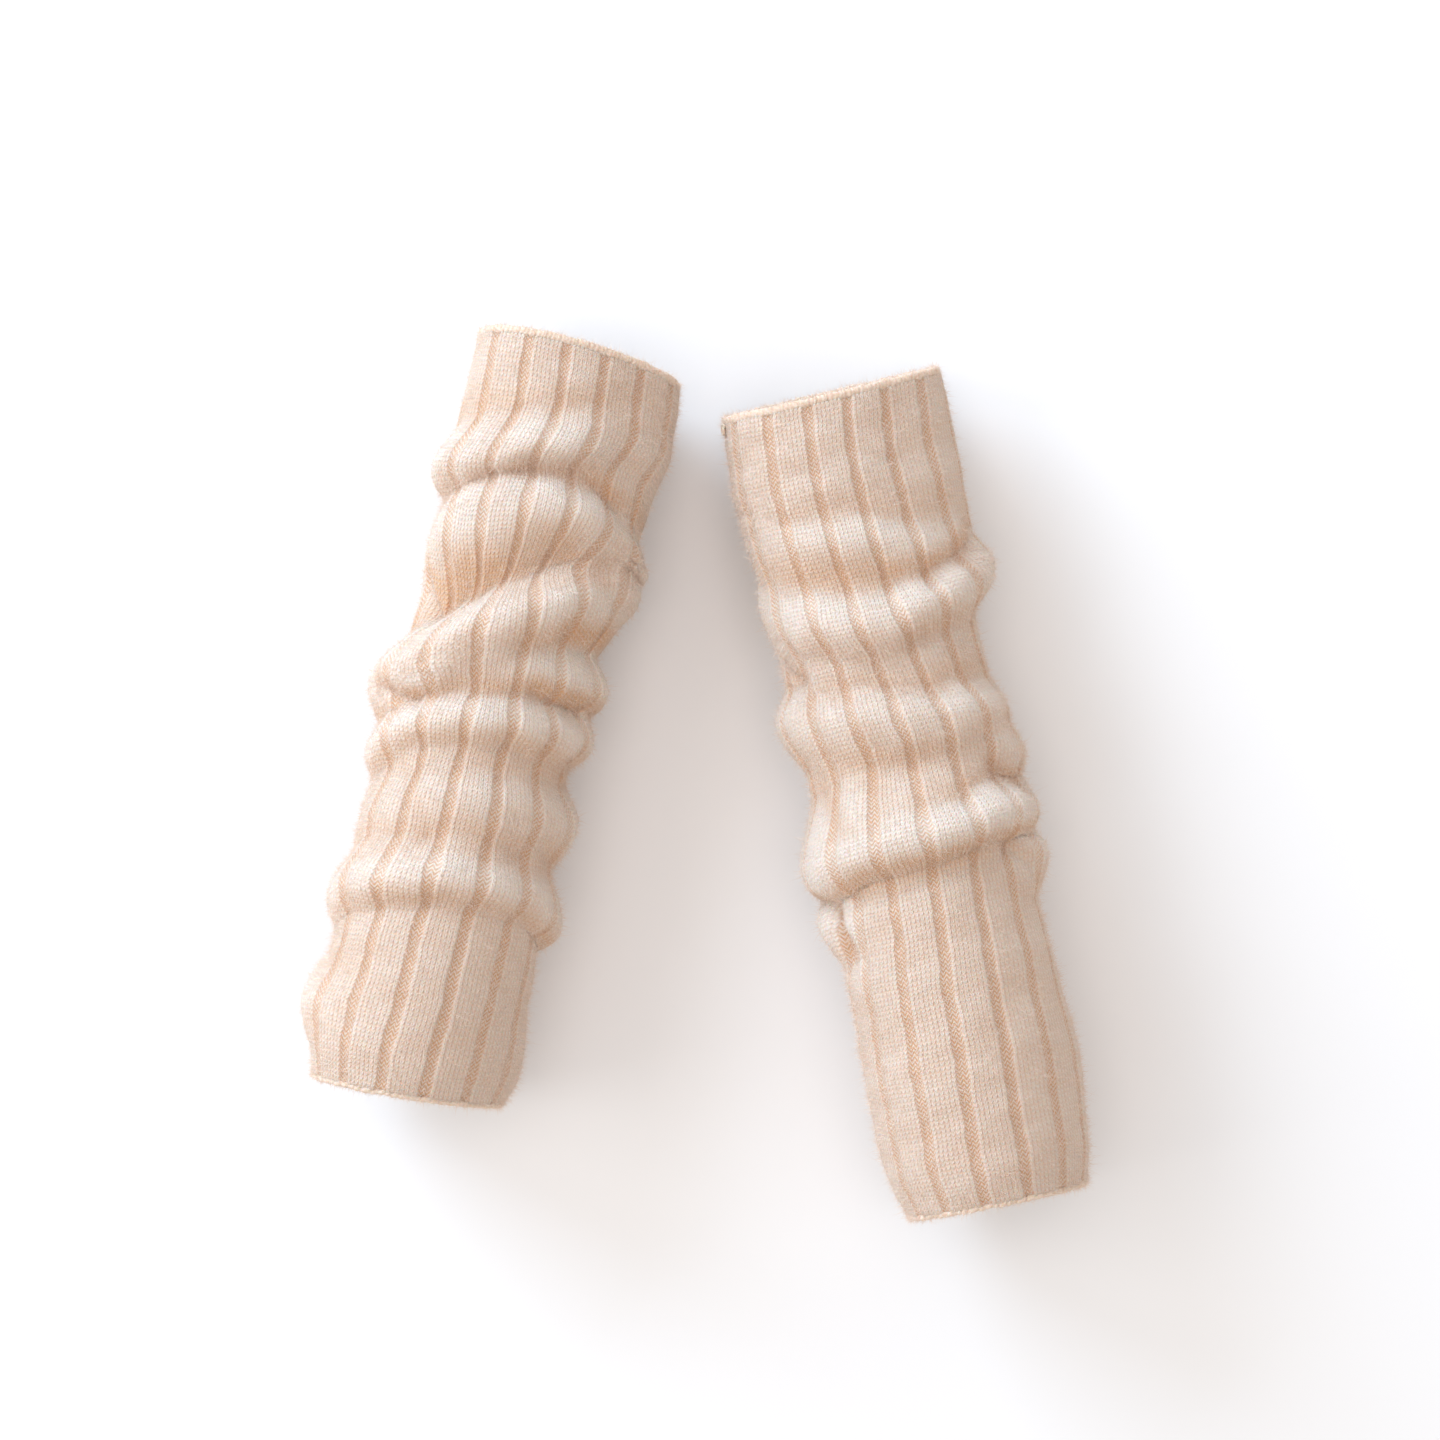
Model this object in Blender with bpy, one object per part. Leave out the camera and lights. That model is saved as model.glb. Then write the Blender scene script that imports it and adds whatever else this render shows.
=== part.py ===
"""Pair of rib-knit arm warmers, worn slouched, as two hollow tubes with edged ends.

Each warmer is a tube of thick rib knit.  Its inside is plain and its outside carries the ribs.
It is pushed up along the arm, so that the cloth stands in folds that run round it.
The shape is worked out from two short tables for each warmer: the sections of the worn tube,
and the folds.  Lengths in the tables are millimetres.  A station is a distance along the arm
from the hand end, and the origin is the point inside the left warmer where the arm holds it.
+X is the wearer's right, +Y points to the hands and +Z up.
"""

import math
from typing import NamedTuple

import bpy
import numpy as np

MM = 0.001
QUARTER_TURN = math.pi / 2.0

# The cloth.
RIBS = 14
WALL = 2.2
RIB_RELIEF = 1.5
RIB_HALF_FACE = 0.37
CHANNEL_HALF_FLOOR = 0.09
SEAM_GAP = 0.3
YARN_COLOUR = (0.80, 0.63, 0.50)

# The edgings of the two ends.
WRIST_EDGE_DEPTH = 4.0
WRIST_EDGE_WALL = 3.8
ELBOW_EDGE_DEPTH = 2.8
ELBOW_EDGE_WALL = 4.2
EDGE_ROUNDING = 0.3
EDGE_COLUMNS = 2 * RIBS

# How the folds stand: how full their crests are, how far the arm's weight leaves them standing
# underneath, and how far the wall's thickness leans from the arm's radius to the fold's slope.
CREST_FULLNESS = 0.68
UNDER_SHARE = 0.55
SLOPE_SHARE = 0.5

# How finely the solid follows them.
FOLD_STEP = 7.2
PLAIN_STEP = 13.0
CREST_CROWDING = 0.08
SMALL_TURN = 0.0005
SMALL_MARK = 0.01
SHARP_ANGLE = 58.0


class Section(NamedTuple):
    """The worn tube across the arm, over its ribs, at one station."""

    station: float
    centre: float
    half_width: float
    half_height: float
    lift: float
    turn: float


class Fold(NamedTuple):
    """One fold: its crest's stations and rises at five places over the top of the arm."""

    name: str
    at_left: float
    at_upper_left: float
    at_top: float
    at_upper_right: float
    at_right: float
    rise_left: float
    rise_upper_left: float
    rise_top: float
    rise_upper_right: float
    rise_right: float
    hand_side: float
    elbow_side: float
    lean: float


class Rim(NamedTuple):
    """The line of one open end: its station, its slant to the right and its bow at the top."""

    station: float
    slant: float
    bow: float


class Warmer(NamedTuple):
    """One arm warmer: its tables, its two rims, and where the arm holds it."""

    side: str
    sections: tuple
    folds: tuple
    wrist: Rim
    elbow: Rim
    hold_station: float
    hold_point: tuple
    bearing: float


LEFT = Warmer(
    side="left",
    sections=(
        Section(0, 0.0, 45.0, 32.0, -4.0, 0.21),
        Section(36, 1.0, 45.8, 33.0, -3.0, 0.30),
        Section(56, 0.2, 43.2, 33.2, -2.6, 0.05),
        Section(76, -0.8, 42.2, 33.5, -2.5, 0.22),
        Section(122, -4.5, 40.0, 35.0, -1.0, 0.12),
        Section(172, -5.2, 39.8, 36.5, 0.5, 0.30),
        Section(222, -5.0, 41.5, 40.0, 3.5, 0.33),
        Section(265, -3.0, 43.5, 43.0, 6.0, 0.18),
        Section(305, -2.0, 44.0, 44.5, 7.5, 0.08),
        Section(322, -0.8, 41.0, 42.0, 6.5, 0.03),
    ),
    folds=(
        Fold("below the hand", 58, 48, 38, 38, 44, 6.5, 7.5, 7.0, 5.5, 4.0, 20, 15, 0.35),
        Fold("sharp crease", 94, 74, 67, 71, 84, 4.0, 5.5, 8.0, 8.5, 7.5, 9, 25, -0.25),
        Fold("hollow", 130, 124, 105, 90, 92, 0.0, -5.5, -4.5, 0.0, 0.0, 28, 13, 0.0),
        Fold("long slant", 151, 140, 118, 101, 99, 12.5, 10.0, 9.0, 8.0, 8.0, 17, 17, 0.25),
        Fold("inner bulge", 164, 152, 139, 137, 139, 0.0, 1.5, 5.5, 8.5, 11.5, 14, 13, 0.1),
        Fold("short roll", 184, 171, 162, 159, 158, 6.5, 6.5, 6.5, 7.5, 9.0, 11, 13, 0.25),
        Fold("soft swell", 207, 199, 190, 191, 194, 1.5, 2.5, 3.5, 6.0, 10.0, 15, 18, 0.0),
        Fold("elbow roll", 250, 240, 232, 232, 242, 6.5, 7.0, 6.5, 7.5, 10.5, 17, 13, 0.4),
        Fold("hem swell", 293, 292, 291, 292, 298, 7.0, 1.5, 0.0, 0.0, 2.5, 22, 22, 0.0),
    ),
    wrist=Rim(3.3, 2.0, -5.0),
    elbow=Rim(321.5, -2.5, -1.5),
    hold_station=160.0,
    hold_point=(0.0, 0.0),
    bearing=-13.0,
)

RIGHT = Warmer(
    side="right",
    sections=(
        Section(0, -0.2, 48.2, 31.0, -5.0, -0.22),
        Section(36, -1.0, 49.0, 32.0, -4.0, -0.33),
        Section(75, -1.0, 46.5, 32.5, -3.5, -0.20),
        Section(115, -1.7, 43.0, 33.8, -2.0, 0.25),
        Section(165, -0.2, 43.0, 36.0, 0.5, 0.52),
        Section(205, -0.4, 43.2, 39.5, 3.5, 0.48),
        Section(250, -0.5, 43.5, 42.0, 5.5, 0.34),
        Section(300, 0.8, 45.8, 44.5, 7.5, 0.16),
        Section(334, -0.2, 43.8, 44.5, 7.5, 0.14),
        Section(355, 0.2, 39.2, 41.0, 6.0, 0.12),
    ),
    folds=(
        Fold("first ripple", 58, 60, 66, 71, 70, 1.5, 3.5, 5.0, 6.0, 4.5, 15, 15, 0.3),
        Fold("thumb bulge", 91, 101, 103, 98, 89, 4.5, 5.5, 7.0, 9.5, 10.0, 13, 18, 0.3),
        Fold("middle ripple", 134, 138, 147, 150, 150, 9.0, 5.5, 6.5, 7.0, 5.5, 18, 15, 0.3),
        Fold("outer tuck", 170, 167, 167, 168, 170, 2.0, 0.0, 0.0, 1.5, 7.5, 14, 13, 0.0),
        Fold("great ridge", 201, 197, 191, 187, 188, 9.0, 11.5, 12.0, 11.5, 8.5, 16, 12, 0.45),
        Fold("side tucks", 227, 224, 220, 216, 212, 8.5, 1.0, 0.0, 0.0, 8.5, 15, 18, 0.0),
    ),
    wrist=Rim(4.3, -1.5, 3.0),
    elbow=Rim(354.5, 0.0, -4.0),
    hold_station=150.0,
    hold_point=(173.8, -4.4),
    bearing=11.5,
)


def glide(knots, values, at):
    """Read a table at one place for each ring: a cubic through its rows that never overshoots.

    knots has a row's position each, and values has a first axis of rows and a second of rings.
    """
    slopes = np.diff(values, axis=0) / np.diff(knots).reshape((-1,) + (1,) * (values.ndim - 1))
    before, after = slopes[:-1], slopes[1:]
    same_way = before * after > 0
    harmonic = 2.0 * before * after / np.where(same_way, before + after, 1.0)
    tangents = np.concatenate([slopes[:1], np.where(same_way, harmonic, 0.0), slopes[-1:]])
    row = np.clip(np.searchsorted(knots, at) - 1, 0, len(knots) - 2)
    ring = np.arange(len(at))
    shape = (-1,) + (1,) * (values.ndim - 2)
    width = (knots[row + 1] - knots[row]).reshape(shape)
    share = (at - knots[row]).reshape(shape) / width
    low, high = values[row, ring], values[row + 1, ring]
    leave = width * share * (1.0 - share) ** 2 * tangents[row, ring]
    arrive = width * share ** 2 * (share - 1.0) * tangents[row + 1, ring]
    return low + (high - low) * share ** 2 * (3.0 - 2.0 * share) + leave + arrive


def around(compass, angle):
    """Read eight values, 45 degrees apart from the right side over the top, at any angle."""
    spot = np.mod(angle / (math.pi / 4.0), 8.0)
    row = np.floor(spot).astype(int)
    t = spot - row
    v0, v1, v2, v3 = (compass[(row + shift) % 8] for shift in (-1, 0, 1, 2))
    bend = (2.0 * v0 - 5.0 * v1 + 4.0 * v2 - v3) * t ** 2
    return v1 + 0.5 * ((v2 - v0) * t + bend + (3.0 * v1 - v0 - 3.0 * v2 + v3) * t ** 3)


def compass_of(right, upper_right, top, upper_left, left, under):
    """Five values over the arm and one beneath it, as the eight that `around` reads."""
    lower_left = 0.5 * (left + under)
    lower_right = 0.5 * (right + under)
    return np.array([right, upper_right, top, upper_left, left, lower_left, under, lower_right])


def crest_station(fold, angle):
    """Station of a fold's crest at an angle; underneath, it joins the two sides."""
    under = 0.5 * (fold.at_left + fold.at_right)
    over = (fold.at_right, fold.at_upper_right, fold.at_top, fold.at_upper_left, fold.at_left)
    return around(compass_of(*over, under), angle)


def crest_rise(fold, angle):
    """Rise of a fold's crest at an angle; underneath, the arm's weight presses it down."""
    under = UNDER_SHARE * 0.5 * (fold.rise_left + fold.rise_right)
    over = (fold.rise_right, fold.rise_upper_right, fold.rise_top)
    return around(compass_of(*over, fold.rise_upper_left, fold.rise_left, under), angle)


def rim_station(rim, angle):
    """Station of an open end at an angle."""
    return rim.station + rim.slant * np.cos(angle) + rim.bow * np.sin(angle)


def landmarks(warmer):
    """Mean stations of the hand end, every crest and the elbow end."""
    crests = [0.25 * (f.at_left + 2.0 * f.at_top + f.at_right) for f in warmer.folds]
    return np.array([warmer.wrist.station, *crests, warmer.elbow.station])


def ring_marks(warmer):
    """Mean station of each ring of points: close and crowded at crests, wide on plain cloth."""
    stations = landmarks(warmer)
    marks = [stations[:1]]
    for low, high in zip(stations[:-1], stations[1:]):
        step = PLAIN_STEP if high == stations[-1] else FOLD_STEP
        share = np.linspace(0.0, 1.0, max(2, round((high - low) / step)) + 1)[1:]
        crowded = share - CREST_CROWDING * np.sin(2.0 * math.pi * share)
        marks.append(low + (high - low) * crowded)
    return np.concatenate(marks)


def section_at(warmer, marks):
    """Centre, inner half width, inner half height, lift and rib turn of each ring."""
    knots = np.array([section.station for section in warmer.sections], float)
    table = np.array([section[1:] for section in warmer.sections])
    spread = np.repeat(table[:, None, :], len(marks), axis=1)
    centre, half_width, half_height, lift, turn = glide(knots, spread, marks).T
    cloth = WALL + RIB_RELIEF
    return tuple(v[:, None] for v in (centre, half_width - cloth, half_height - cloth, lift, turn))


def folded_station(warmer, marks, angle):
    """Station of each point: rings run along the rims and the crests, and glide between them."""
    lines = [rim_station(warmer.wrist, angle)]
    lines += [crest_station(fold, angle) for fold in warmer.folds]
    lines.append(rim_station(warmer.elbow, angle))
    return glide(landmarks(warmer), np.stack(lines), marks)


def fold_lift(warmer, station, angle):
    """Height of the folds above the arm at each point, and their push towards the elbow."""
    rise = np.zeros_like(angle)
    push = np.zeros_like(angle)
    for fold in warmer.folds:
        away = station - crest_station(fold, angle)
        share = away / np.where(away < 0.0, fold.hand_side, fold.elbow_side)
        bump = (0.5 + 0.5 * np.cos(math.pi * np.clip(share, -1.0, 1.0))) ** CREST_FULLNESS
        height = crest_rise(fold, angle) * bump
        rise += height
        push += fold.lean * height
    return rise, push


def inner_face(warmer, marks, turns):
    """Inside of the cloth at each mark and turn, and the direction away from the arm there."""
    centre, half_width, half_height, lift, turn = section_at(warmer, marks)
    phase = QUARTER_TURN - 2.0 * math.pi * (turns + turn / RIBS)
    oval = (half_width ** 2 - half_height ** 2) / (half_width ** 2 + half_height ** 2)
    angle = phase + 0.25 * oval * np.sin(2.0 * phase)
    station = folded_station(warmer, marks, angle)
    rise, push = fold_lift(warmer, station, angle)
    away = np.stack([np.cos(angle) / half_width, 0.0 * angle, np.sin(angle) / half_height], axis=-1)
    away /= np.linalg.norm(away, axis=-1, keepdims=True)
    x = centre + half_width * np.cos(angle)
    y = warmer.hold_station - station - push
    z = lift + half_height * np.sin(angle)
    return np.stack([x, y, z], axis=-1) + rise[..., None] * away, away


def cloth(warmer, marks, turns):
    """Inside points, and the direction that the wall's thickness is laid in."""
    inside, away = inner_face(warmer, marks, turns)
    round_it = [inner_face(warmer, marks, turns + side * SMALL_TURN)[0] for side in (-1.0, 1.0)]
    along_it = [inner_face(warmer, marks + side * SMALL_MARK, turns)[0] for side in (-1.0, 1.0)]
    slope = np.cross(along_it[1] - along_it[0], round_it[1] - round_it[0])
    slope /= np.linalg.norm(slope, axis=-1, keepdims=True)
    out = SLOPE_SHARE * slope + (1.0 - SLOPE_SHARE) * away
    return inside, out / np.linalg.norm(out, axis=-1, keepdims=True)


def rib_columns():
    """Turns and reliefs of the outer points: two on each rib's face, two in each channel."""
    offsets = np.array([-RIB_HALF_FACE, RIB_HALF_FACE, 0.5 - CHANNEL_HALF_FLOOR, 0.5 + CHANNEL_HALF_FLOOR])
    turns = (np.arange(RIBS)[:, None] + offsets) / RIBS
    reliefs = np.tile([RIB_RELIEF, RIB_RELIEF, 0.0, 0.0], RIBS)
    return turns.ravel(), reliefs


def wall_faces(rings, outer, inner):
    """Faces of the closed wall: the outside, the inside and the two end bands."""
    faces = []
    inner_start = rings * outer
    for ring in range(rings - 1):
        for column in range(outer):
            a, b = ring * outer + column, ring * outer + (column + 1) % outer
            faces.append((a, a + outer, b + outer, b))
        for column in range(inner):
            a, b = ring * inner + column, ring * inner + (column + 1) % inner
            faces.append(tuple(inner_start + corner for corner in (a, b, b + inner, a + inner)))
    faces += end_faces(0, inner_start)
    far_end = end_faces((rings - 1) * outer, inner_start + (rings - 1) * inner)
    return faces + [face[::-1] for face in far_end]


def end_faces(outer_start, inner_start):
    """The band across one end of the wall: four outer and two inner points for each rib."""
    faces = []
    for rib in range(RIBS):
        left, right, floor, floor_end = (outer_start + 4 * rib + k for k in range(4))
        next_left = outer_start + (4 * rib + 4) % (4 * RIBS)
        middle, hollow = inner_start + 2 * rib, inner_start + 2 * rib + 1
        next_middle = inner_start + (2 * rib + 2) % (2 * RIBS)
        faces.append((middle, left, right))
        faces.append((middle, right, floor, hollow))
        faces.append((hollow, floor, floor_end))
        faces.append((hollow, floor_end, next_left, next_middle))
    return faces


def tube_shape(warmer):
    """Points and faces of the rib-knit tube."""
    marks = ring_marks(warmer)
    turns, reliefs = rib_columns()
    inside, out = cloth(warmer, marks, turns)
    outside = inside + out * (WALL + reliefs)[None, :, None]
    plain_turns = np.arange(2 * RIBS) / (2.0 * RIBS)
    plain, _ = inner_face(warmer, marks, plain_turns)
    points = np.concatenate([outside.reshape(-1, 3), plain.reshape(-1, 3)])
    return points, wall_faces(len(marks), len(turns), len(plain_turns))


def edge_profile():
    """Section of an edging: a rounded oblong, one wall thick and one depth long."""
    outer_half = [(0.5 - EDGE_ROUNDING, 0.0), (0.5, EDGE_ROUNDING),
                  (0.5, 1.0 - EDGE_ROUNDING), (0.5 - EDGE_ROUNDING, 1.0)]
    return np.array(outer_half + [(-x, y) for x, y in reversed(outer_half)])


def edge_shape(warmer, mark, depth, thickness, way):
    """Points and faces of the band that finishes an end, one seam gap past the tube.

    way is 1 towards the hand and -1 towards the elbow.
    """
    turns = np.arange(EDGE_COLUMNS) / EDGE_COLUMNS
    inside, out = cloth(warmer, np.array([mark]), turns)
    middle = inside[0] + out[0] * 0.5 * (WALL + RIB_RELIEF)
    across = out[0] * np.array([1.0, 0.0, 1.0])
    across /= np.linalg.norm(across, axis=-1, keepdims=True)
    profile = edge_profile()
    past = np.array([0.0, way, 0.0]) * (SEAM_GAP + profile[:, 1:] * depth)
    points = middle[:, None] + across[:, None] * profile[None, :, :1] * thickness + past[None]
    sides = len(profile)
    faces = []
    for column in range(EDGE_COLUMNS):
        beside = (column + 1) % EDGE_COLUMNS
        for side in range(sides):
            after = (side + 1) % sides
            face = (column * sides + side, beside * sides + side,
                    beside * sides + after, column * sides + after)
            faces.append(face if way > 0 else face[::-1])
    return points.reshape(-1, 3), faces


def yarn_material(name, roughness):
    """Matte brushed cashmere for one piece."""
    material = bpy.data.materials.new(name)
    material.use_nodes = True
    shader = material.node_tree.nodes["Principled BSDF"]
    shader.inputs["Base Color"].default_value = (*YARN_COLOUR, 1.0)
    shader.inputs["Roughness"].default_value = roughness
    shader.inputs["Metallic"].default_value = 0.0
    return material


def add_piece(collection, holder, name, shape, roughness):
    """Make one named piece and hang it on the warmer's empty."""
    points, faces = shape
    mesh = bpy.data.meshes.new(name)
    mesh.from_pydata((points * MM).tolist(), [], faces)
    mesh.shade_smooth()
    mesh.set_sharp_from_angle(angle=math.radians(SHARP_ANGLE))
    mesh.materials.append(yarn_material(name, roughness))
    piece = bpy.data.objects.new(name, mesh)
    piece.parent = holder
    collection.objects.link(piece)


def build_warmer(collection, warmer):
    """Build one warmer: its tube and the edging of each end."""
    holder = bpy.data.objects.new(warmer.side + "_hold_point", None)
    holder.location = (warmer.hold_point[0] * MM, warmer.hold_point[1] * MM, 0.0)
    holder.rotation_euler = (0.0, 0.0, math.radians(warmer.bearing))
    collection.objects.link(holder)
    wrist = edge_shape(warmer, warmer.wrist.station, WRIST_EDGE_DEPTH, WRIST_EDGE_WALL, 1)
    elbow = edge_shape(warmer, warmer.elbow.station, ELBOW_EDGE_DEPTH, ELBOW_EDGE_WALL, -1)
    add_piece(collection, holder, warmer.side + "_tube", tube_shape(warmer), 0.90)
    add_piece(collection, holder, warmer.side + "_wrist_edge", wrist, 0.86)
    add_piece(collection, holder, warmer.side + "_elbow_edge", elbow, 0.92)


def main():
    """Clear the scene and build the pair."""
    for item in list(bpy.data.objects):
        bpy.data.objects.remove(item, do_unlink=True)
    collection = bpy.data.collections.new("knitted_arm_warmers")
    bpy.context.scene.collection.children.link(collection)
    for warmer in (LEFT, RIGHT):
        build_warmer(collection, warmer)


main()
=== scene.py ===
"""Looks of a pair of rib-knit cashmere arm warmers, worn slouched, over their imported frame.

Each warmer is dressed as a tube of knitted wales and courses, an edging of looped yarn at
each end, an overcast side seam and a halo of brushed fibres.  Lengths are millimetres until
a piece is made, and a station is a distance along the arm from the hand end.
"""

from __future__ import annotations

import logging
import math
from dataclasses import dataclass
from enum import Enum
from typing import Mapping, NamedTuple, Union

import bpy
import numpy as np
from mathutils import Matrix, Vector
from numpy.typing import NDArray

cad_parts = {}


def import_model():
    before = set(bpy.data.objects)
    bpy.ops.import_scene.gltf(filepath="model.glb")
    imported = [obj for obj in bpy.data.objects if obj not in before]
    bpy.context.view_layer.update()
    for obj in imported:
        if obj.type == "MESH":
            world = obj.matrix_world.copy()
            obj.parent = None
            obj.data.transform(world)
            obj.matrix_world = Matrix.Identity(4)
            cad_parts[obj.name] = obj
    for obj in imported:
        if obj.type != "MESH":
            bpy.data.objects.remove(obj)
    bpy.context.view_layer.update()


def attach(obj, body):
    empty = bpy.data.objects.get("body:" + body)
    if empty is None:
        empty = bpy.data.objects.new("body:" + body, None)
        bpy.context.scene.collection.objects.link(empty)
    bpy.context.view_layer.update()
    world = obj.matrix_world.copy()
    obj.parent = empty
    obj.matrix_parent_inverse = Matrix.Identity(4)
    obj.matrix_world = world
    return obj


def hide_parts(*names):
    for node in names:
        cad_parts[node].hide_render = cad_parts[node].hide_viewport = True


Array = NDArray[np.float64]
Whole = NDArray[np.int64]
Feed = Union[bpy.types.NodeSocket, float, tuple]

LOG = logging.getLogger("arm_warmers")
MM = 0.001
TAU = 2.0 * math.pi


# --------------------------------------------------------------------------------------------
# The worn form: the frame's sections, and its folds drawn finer, with small creases added.
# --------------------------------------------------------------------------------------------


class Side(Enum):
    """Which arm a warmer is worn on."""

    LEFT = "left"
    RIGHT = "right"


class Way(Enum):
    """Which way along the arm something faces."""

    HAND = 1.0
    ELBOW = -1.0


class Section(NamedTuple):
    """The worn tube across the arm, over its ribs, at one station."""

    station: float
    centre: float
    half_width: float
    half_height: float
    lift: float
    turn: float


class Fold(NamedTuple):
    """One fold: its crest's stations and rises at five places over the top of the arm."""

    name: str
    at_left: float
    at_upper_left: float
    at_top: float
    at_upper_right: float
    at_right: float
    rise_left: float
    rise_upper_left: float
    rise_top: float
    rise_upper_right: float
    rise_right: float
    hand_side: float
    elbow_side: float
    lean: float


class Crease(NamedTuple):
    """A short trough between two places; a negative depth makes it a ridge.

    Degrees run round the arm from its right side over the top.
    """

    name: str
    from_station: float
    from_degrees: float
    to_station: float
    to_degrees: float
    depth: float
    width: float


class Rim(NamedTuple):
    """The line of one open end: its station, its slant to the right and its bow at the top."""

    station: float
    slant: float
    bow: float


def glide(knots: Array, values: Array, at: Array) -> Array:
    """Read a table at one place for each ring, by a cubic through its rows.

    The cubic is Hermite's, and its slope at a row is the harmonic mean of the slopes beside
    it, or nothing where they differ in sign, so it never overshoots.

    Args:
        knots: the rows' positions.
        values: rows, then rings, then anything else.
        at: one position for each ring.

    Returns:
        One value for each ring.
    """
    slopes = np.diff(values, axis=0) / np.diff(knots).reshape((-1,) + (1,) * (values.ndim - 1))
    before, after = slopes[:-1], slopes[1:]
    same_way = before * after > 0
    harmonic = 2.0 * before * after / np.where(same_way, before + after, 1.0)
    tangents = np.concatenate([slopes[:1], np.where(same_way, harmonic, 0.0), slopes[-1:]])
    row = np.clip(np.searchsorted(knots, at) - 1, 0, len(knots) - 2)
    ring = np.arange(len(at))
    shape = (-1,) + (1,) * (values.ndim - 2)
    width = (knots[row + 1] - knots[row]).reshape(shape)
    share = (at - knots[row]).reshape(shape) / width
    low, high = values[row, ring], values[row + 1, ring]
    leave = width * share * (1.0 - share) ** 2 * tangents[row, ring]
    arrive = width * share**2 * (share - 1.0) * tangents[row + 1, ring]
    return low + (high - low) * share**2 * (3.0 - 2.0 * share) + leave + arrive


def around(compass: Array, angle: Array) -> Array:
    """Read a value at any angle from eight, by the closed cubic that passes through them.

    Args:
        compass: eight values, 45 degrees apart from the right side over the top.
        angle: angles in radians.

    Returns:
        A value for each angle.
    """
    spot = np.mod(angle / (math.pi / 4.0), 8.0)
    row = np.floor(spot).astype(int)
    t = spot - row
    v0, v1, v2, v3 = (compass[(row + shift) % 8] for shift in (-1, 0, 1, 2))
    bend = (2.0 * v0 - 5.0 * v1 + 4.0 * v2 - v3) * t**2
    return v1 + 0.5 * ((v2 - v0) * t + bend + (3.0 * v1 - v0 - 3.0 * v2 + v3) * t**3)


def compass_of(over: tuple, under: float) -> Array:
    """Eight compass values from five over the arm and one beneath it.

    Args:
        over: values at the right, upper right, top, upper left and left.
        under: the value beneath the arm; those beside it are means.

    Returns:
        The values, 45 degrees apart from the right side over the top.
    """
    right, upper_right, top, upper_left, left = over
    lower_left, lower_right = 0.5 * (left + under), 0.5 * (right + under)
    return np.array([right, upper_right, top, upper_left, left, lower_left, under, lower_right])


def unit(vectors: Array) -> Array:
    """The same directions, one long."""
    return vectors / np.linalg.norm(vectors, axis=-1, keepdims=True)


def two_sines(angle: Array, first: tuple[float, float], second: tuple[float, float]) -> Array:
    """Two sines round the arm, each by its count in a turn and its phase, the second weaker."""
    return np.sin(first[0] * angle + first[1]) + 0.8 * np.sin(second[0] * angle + second[1])


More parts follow.
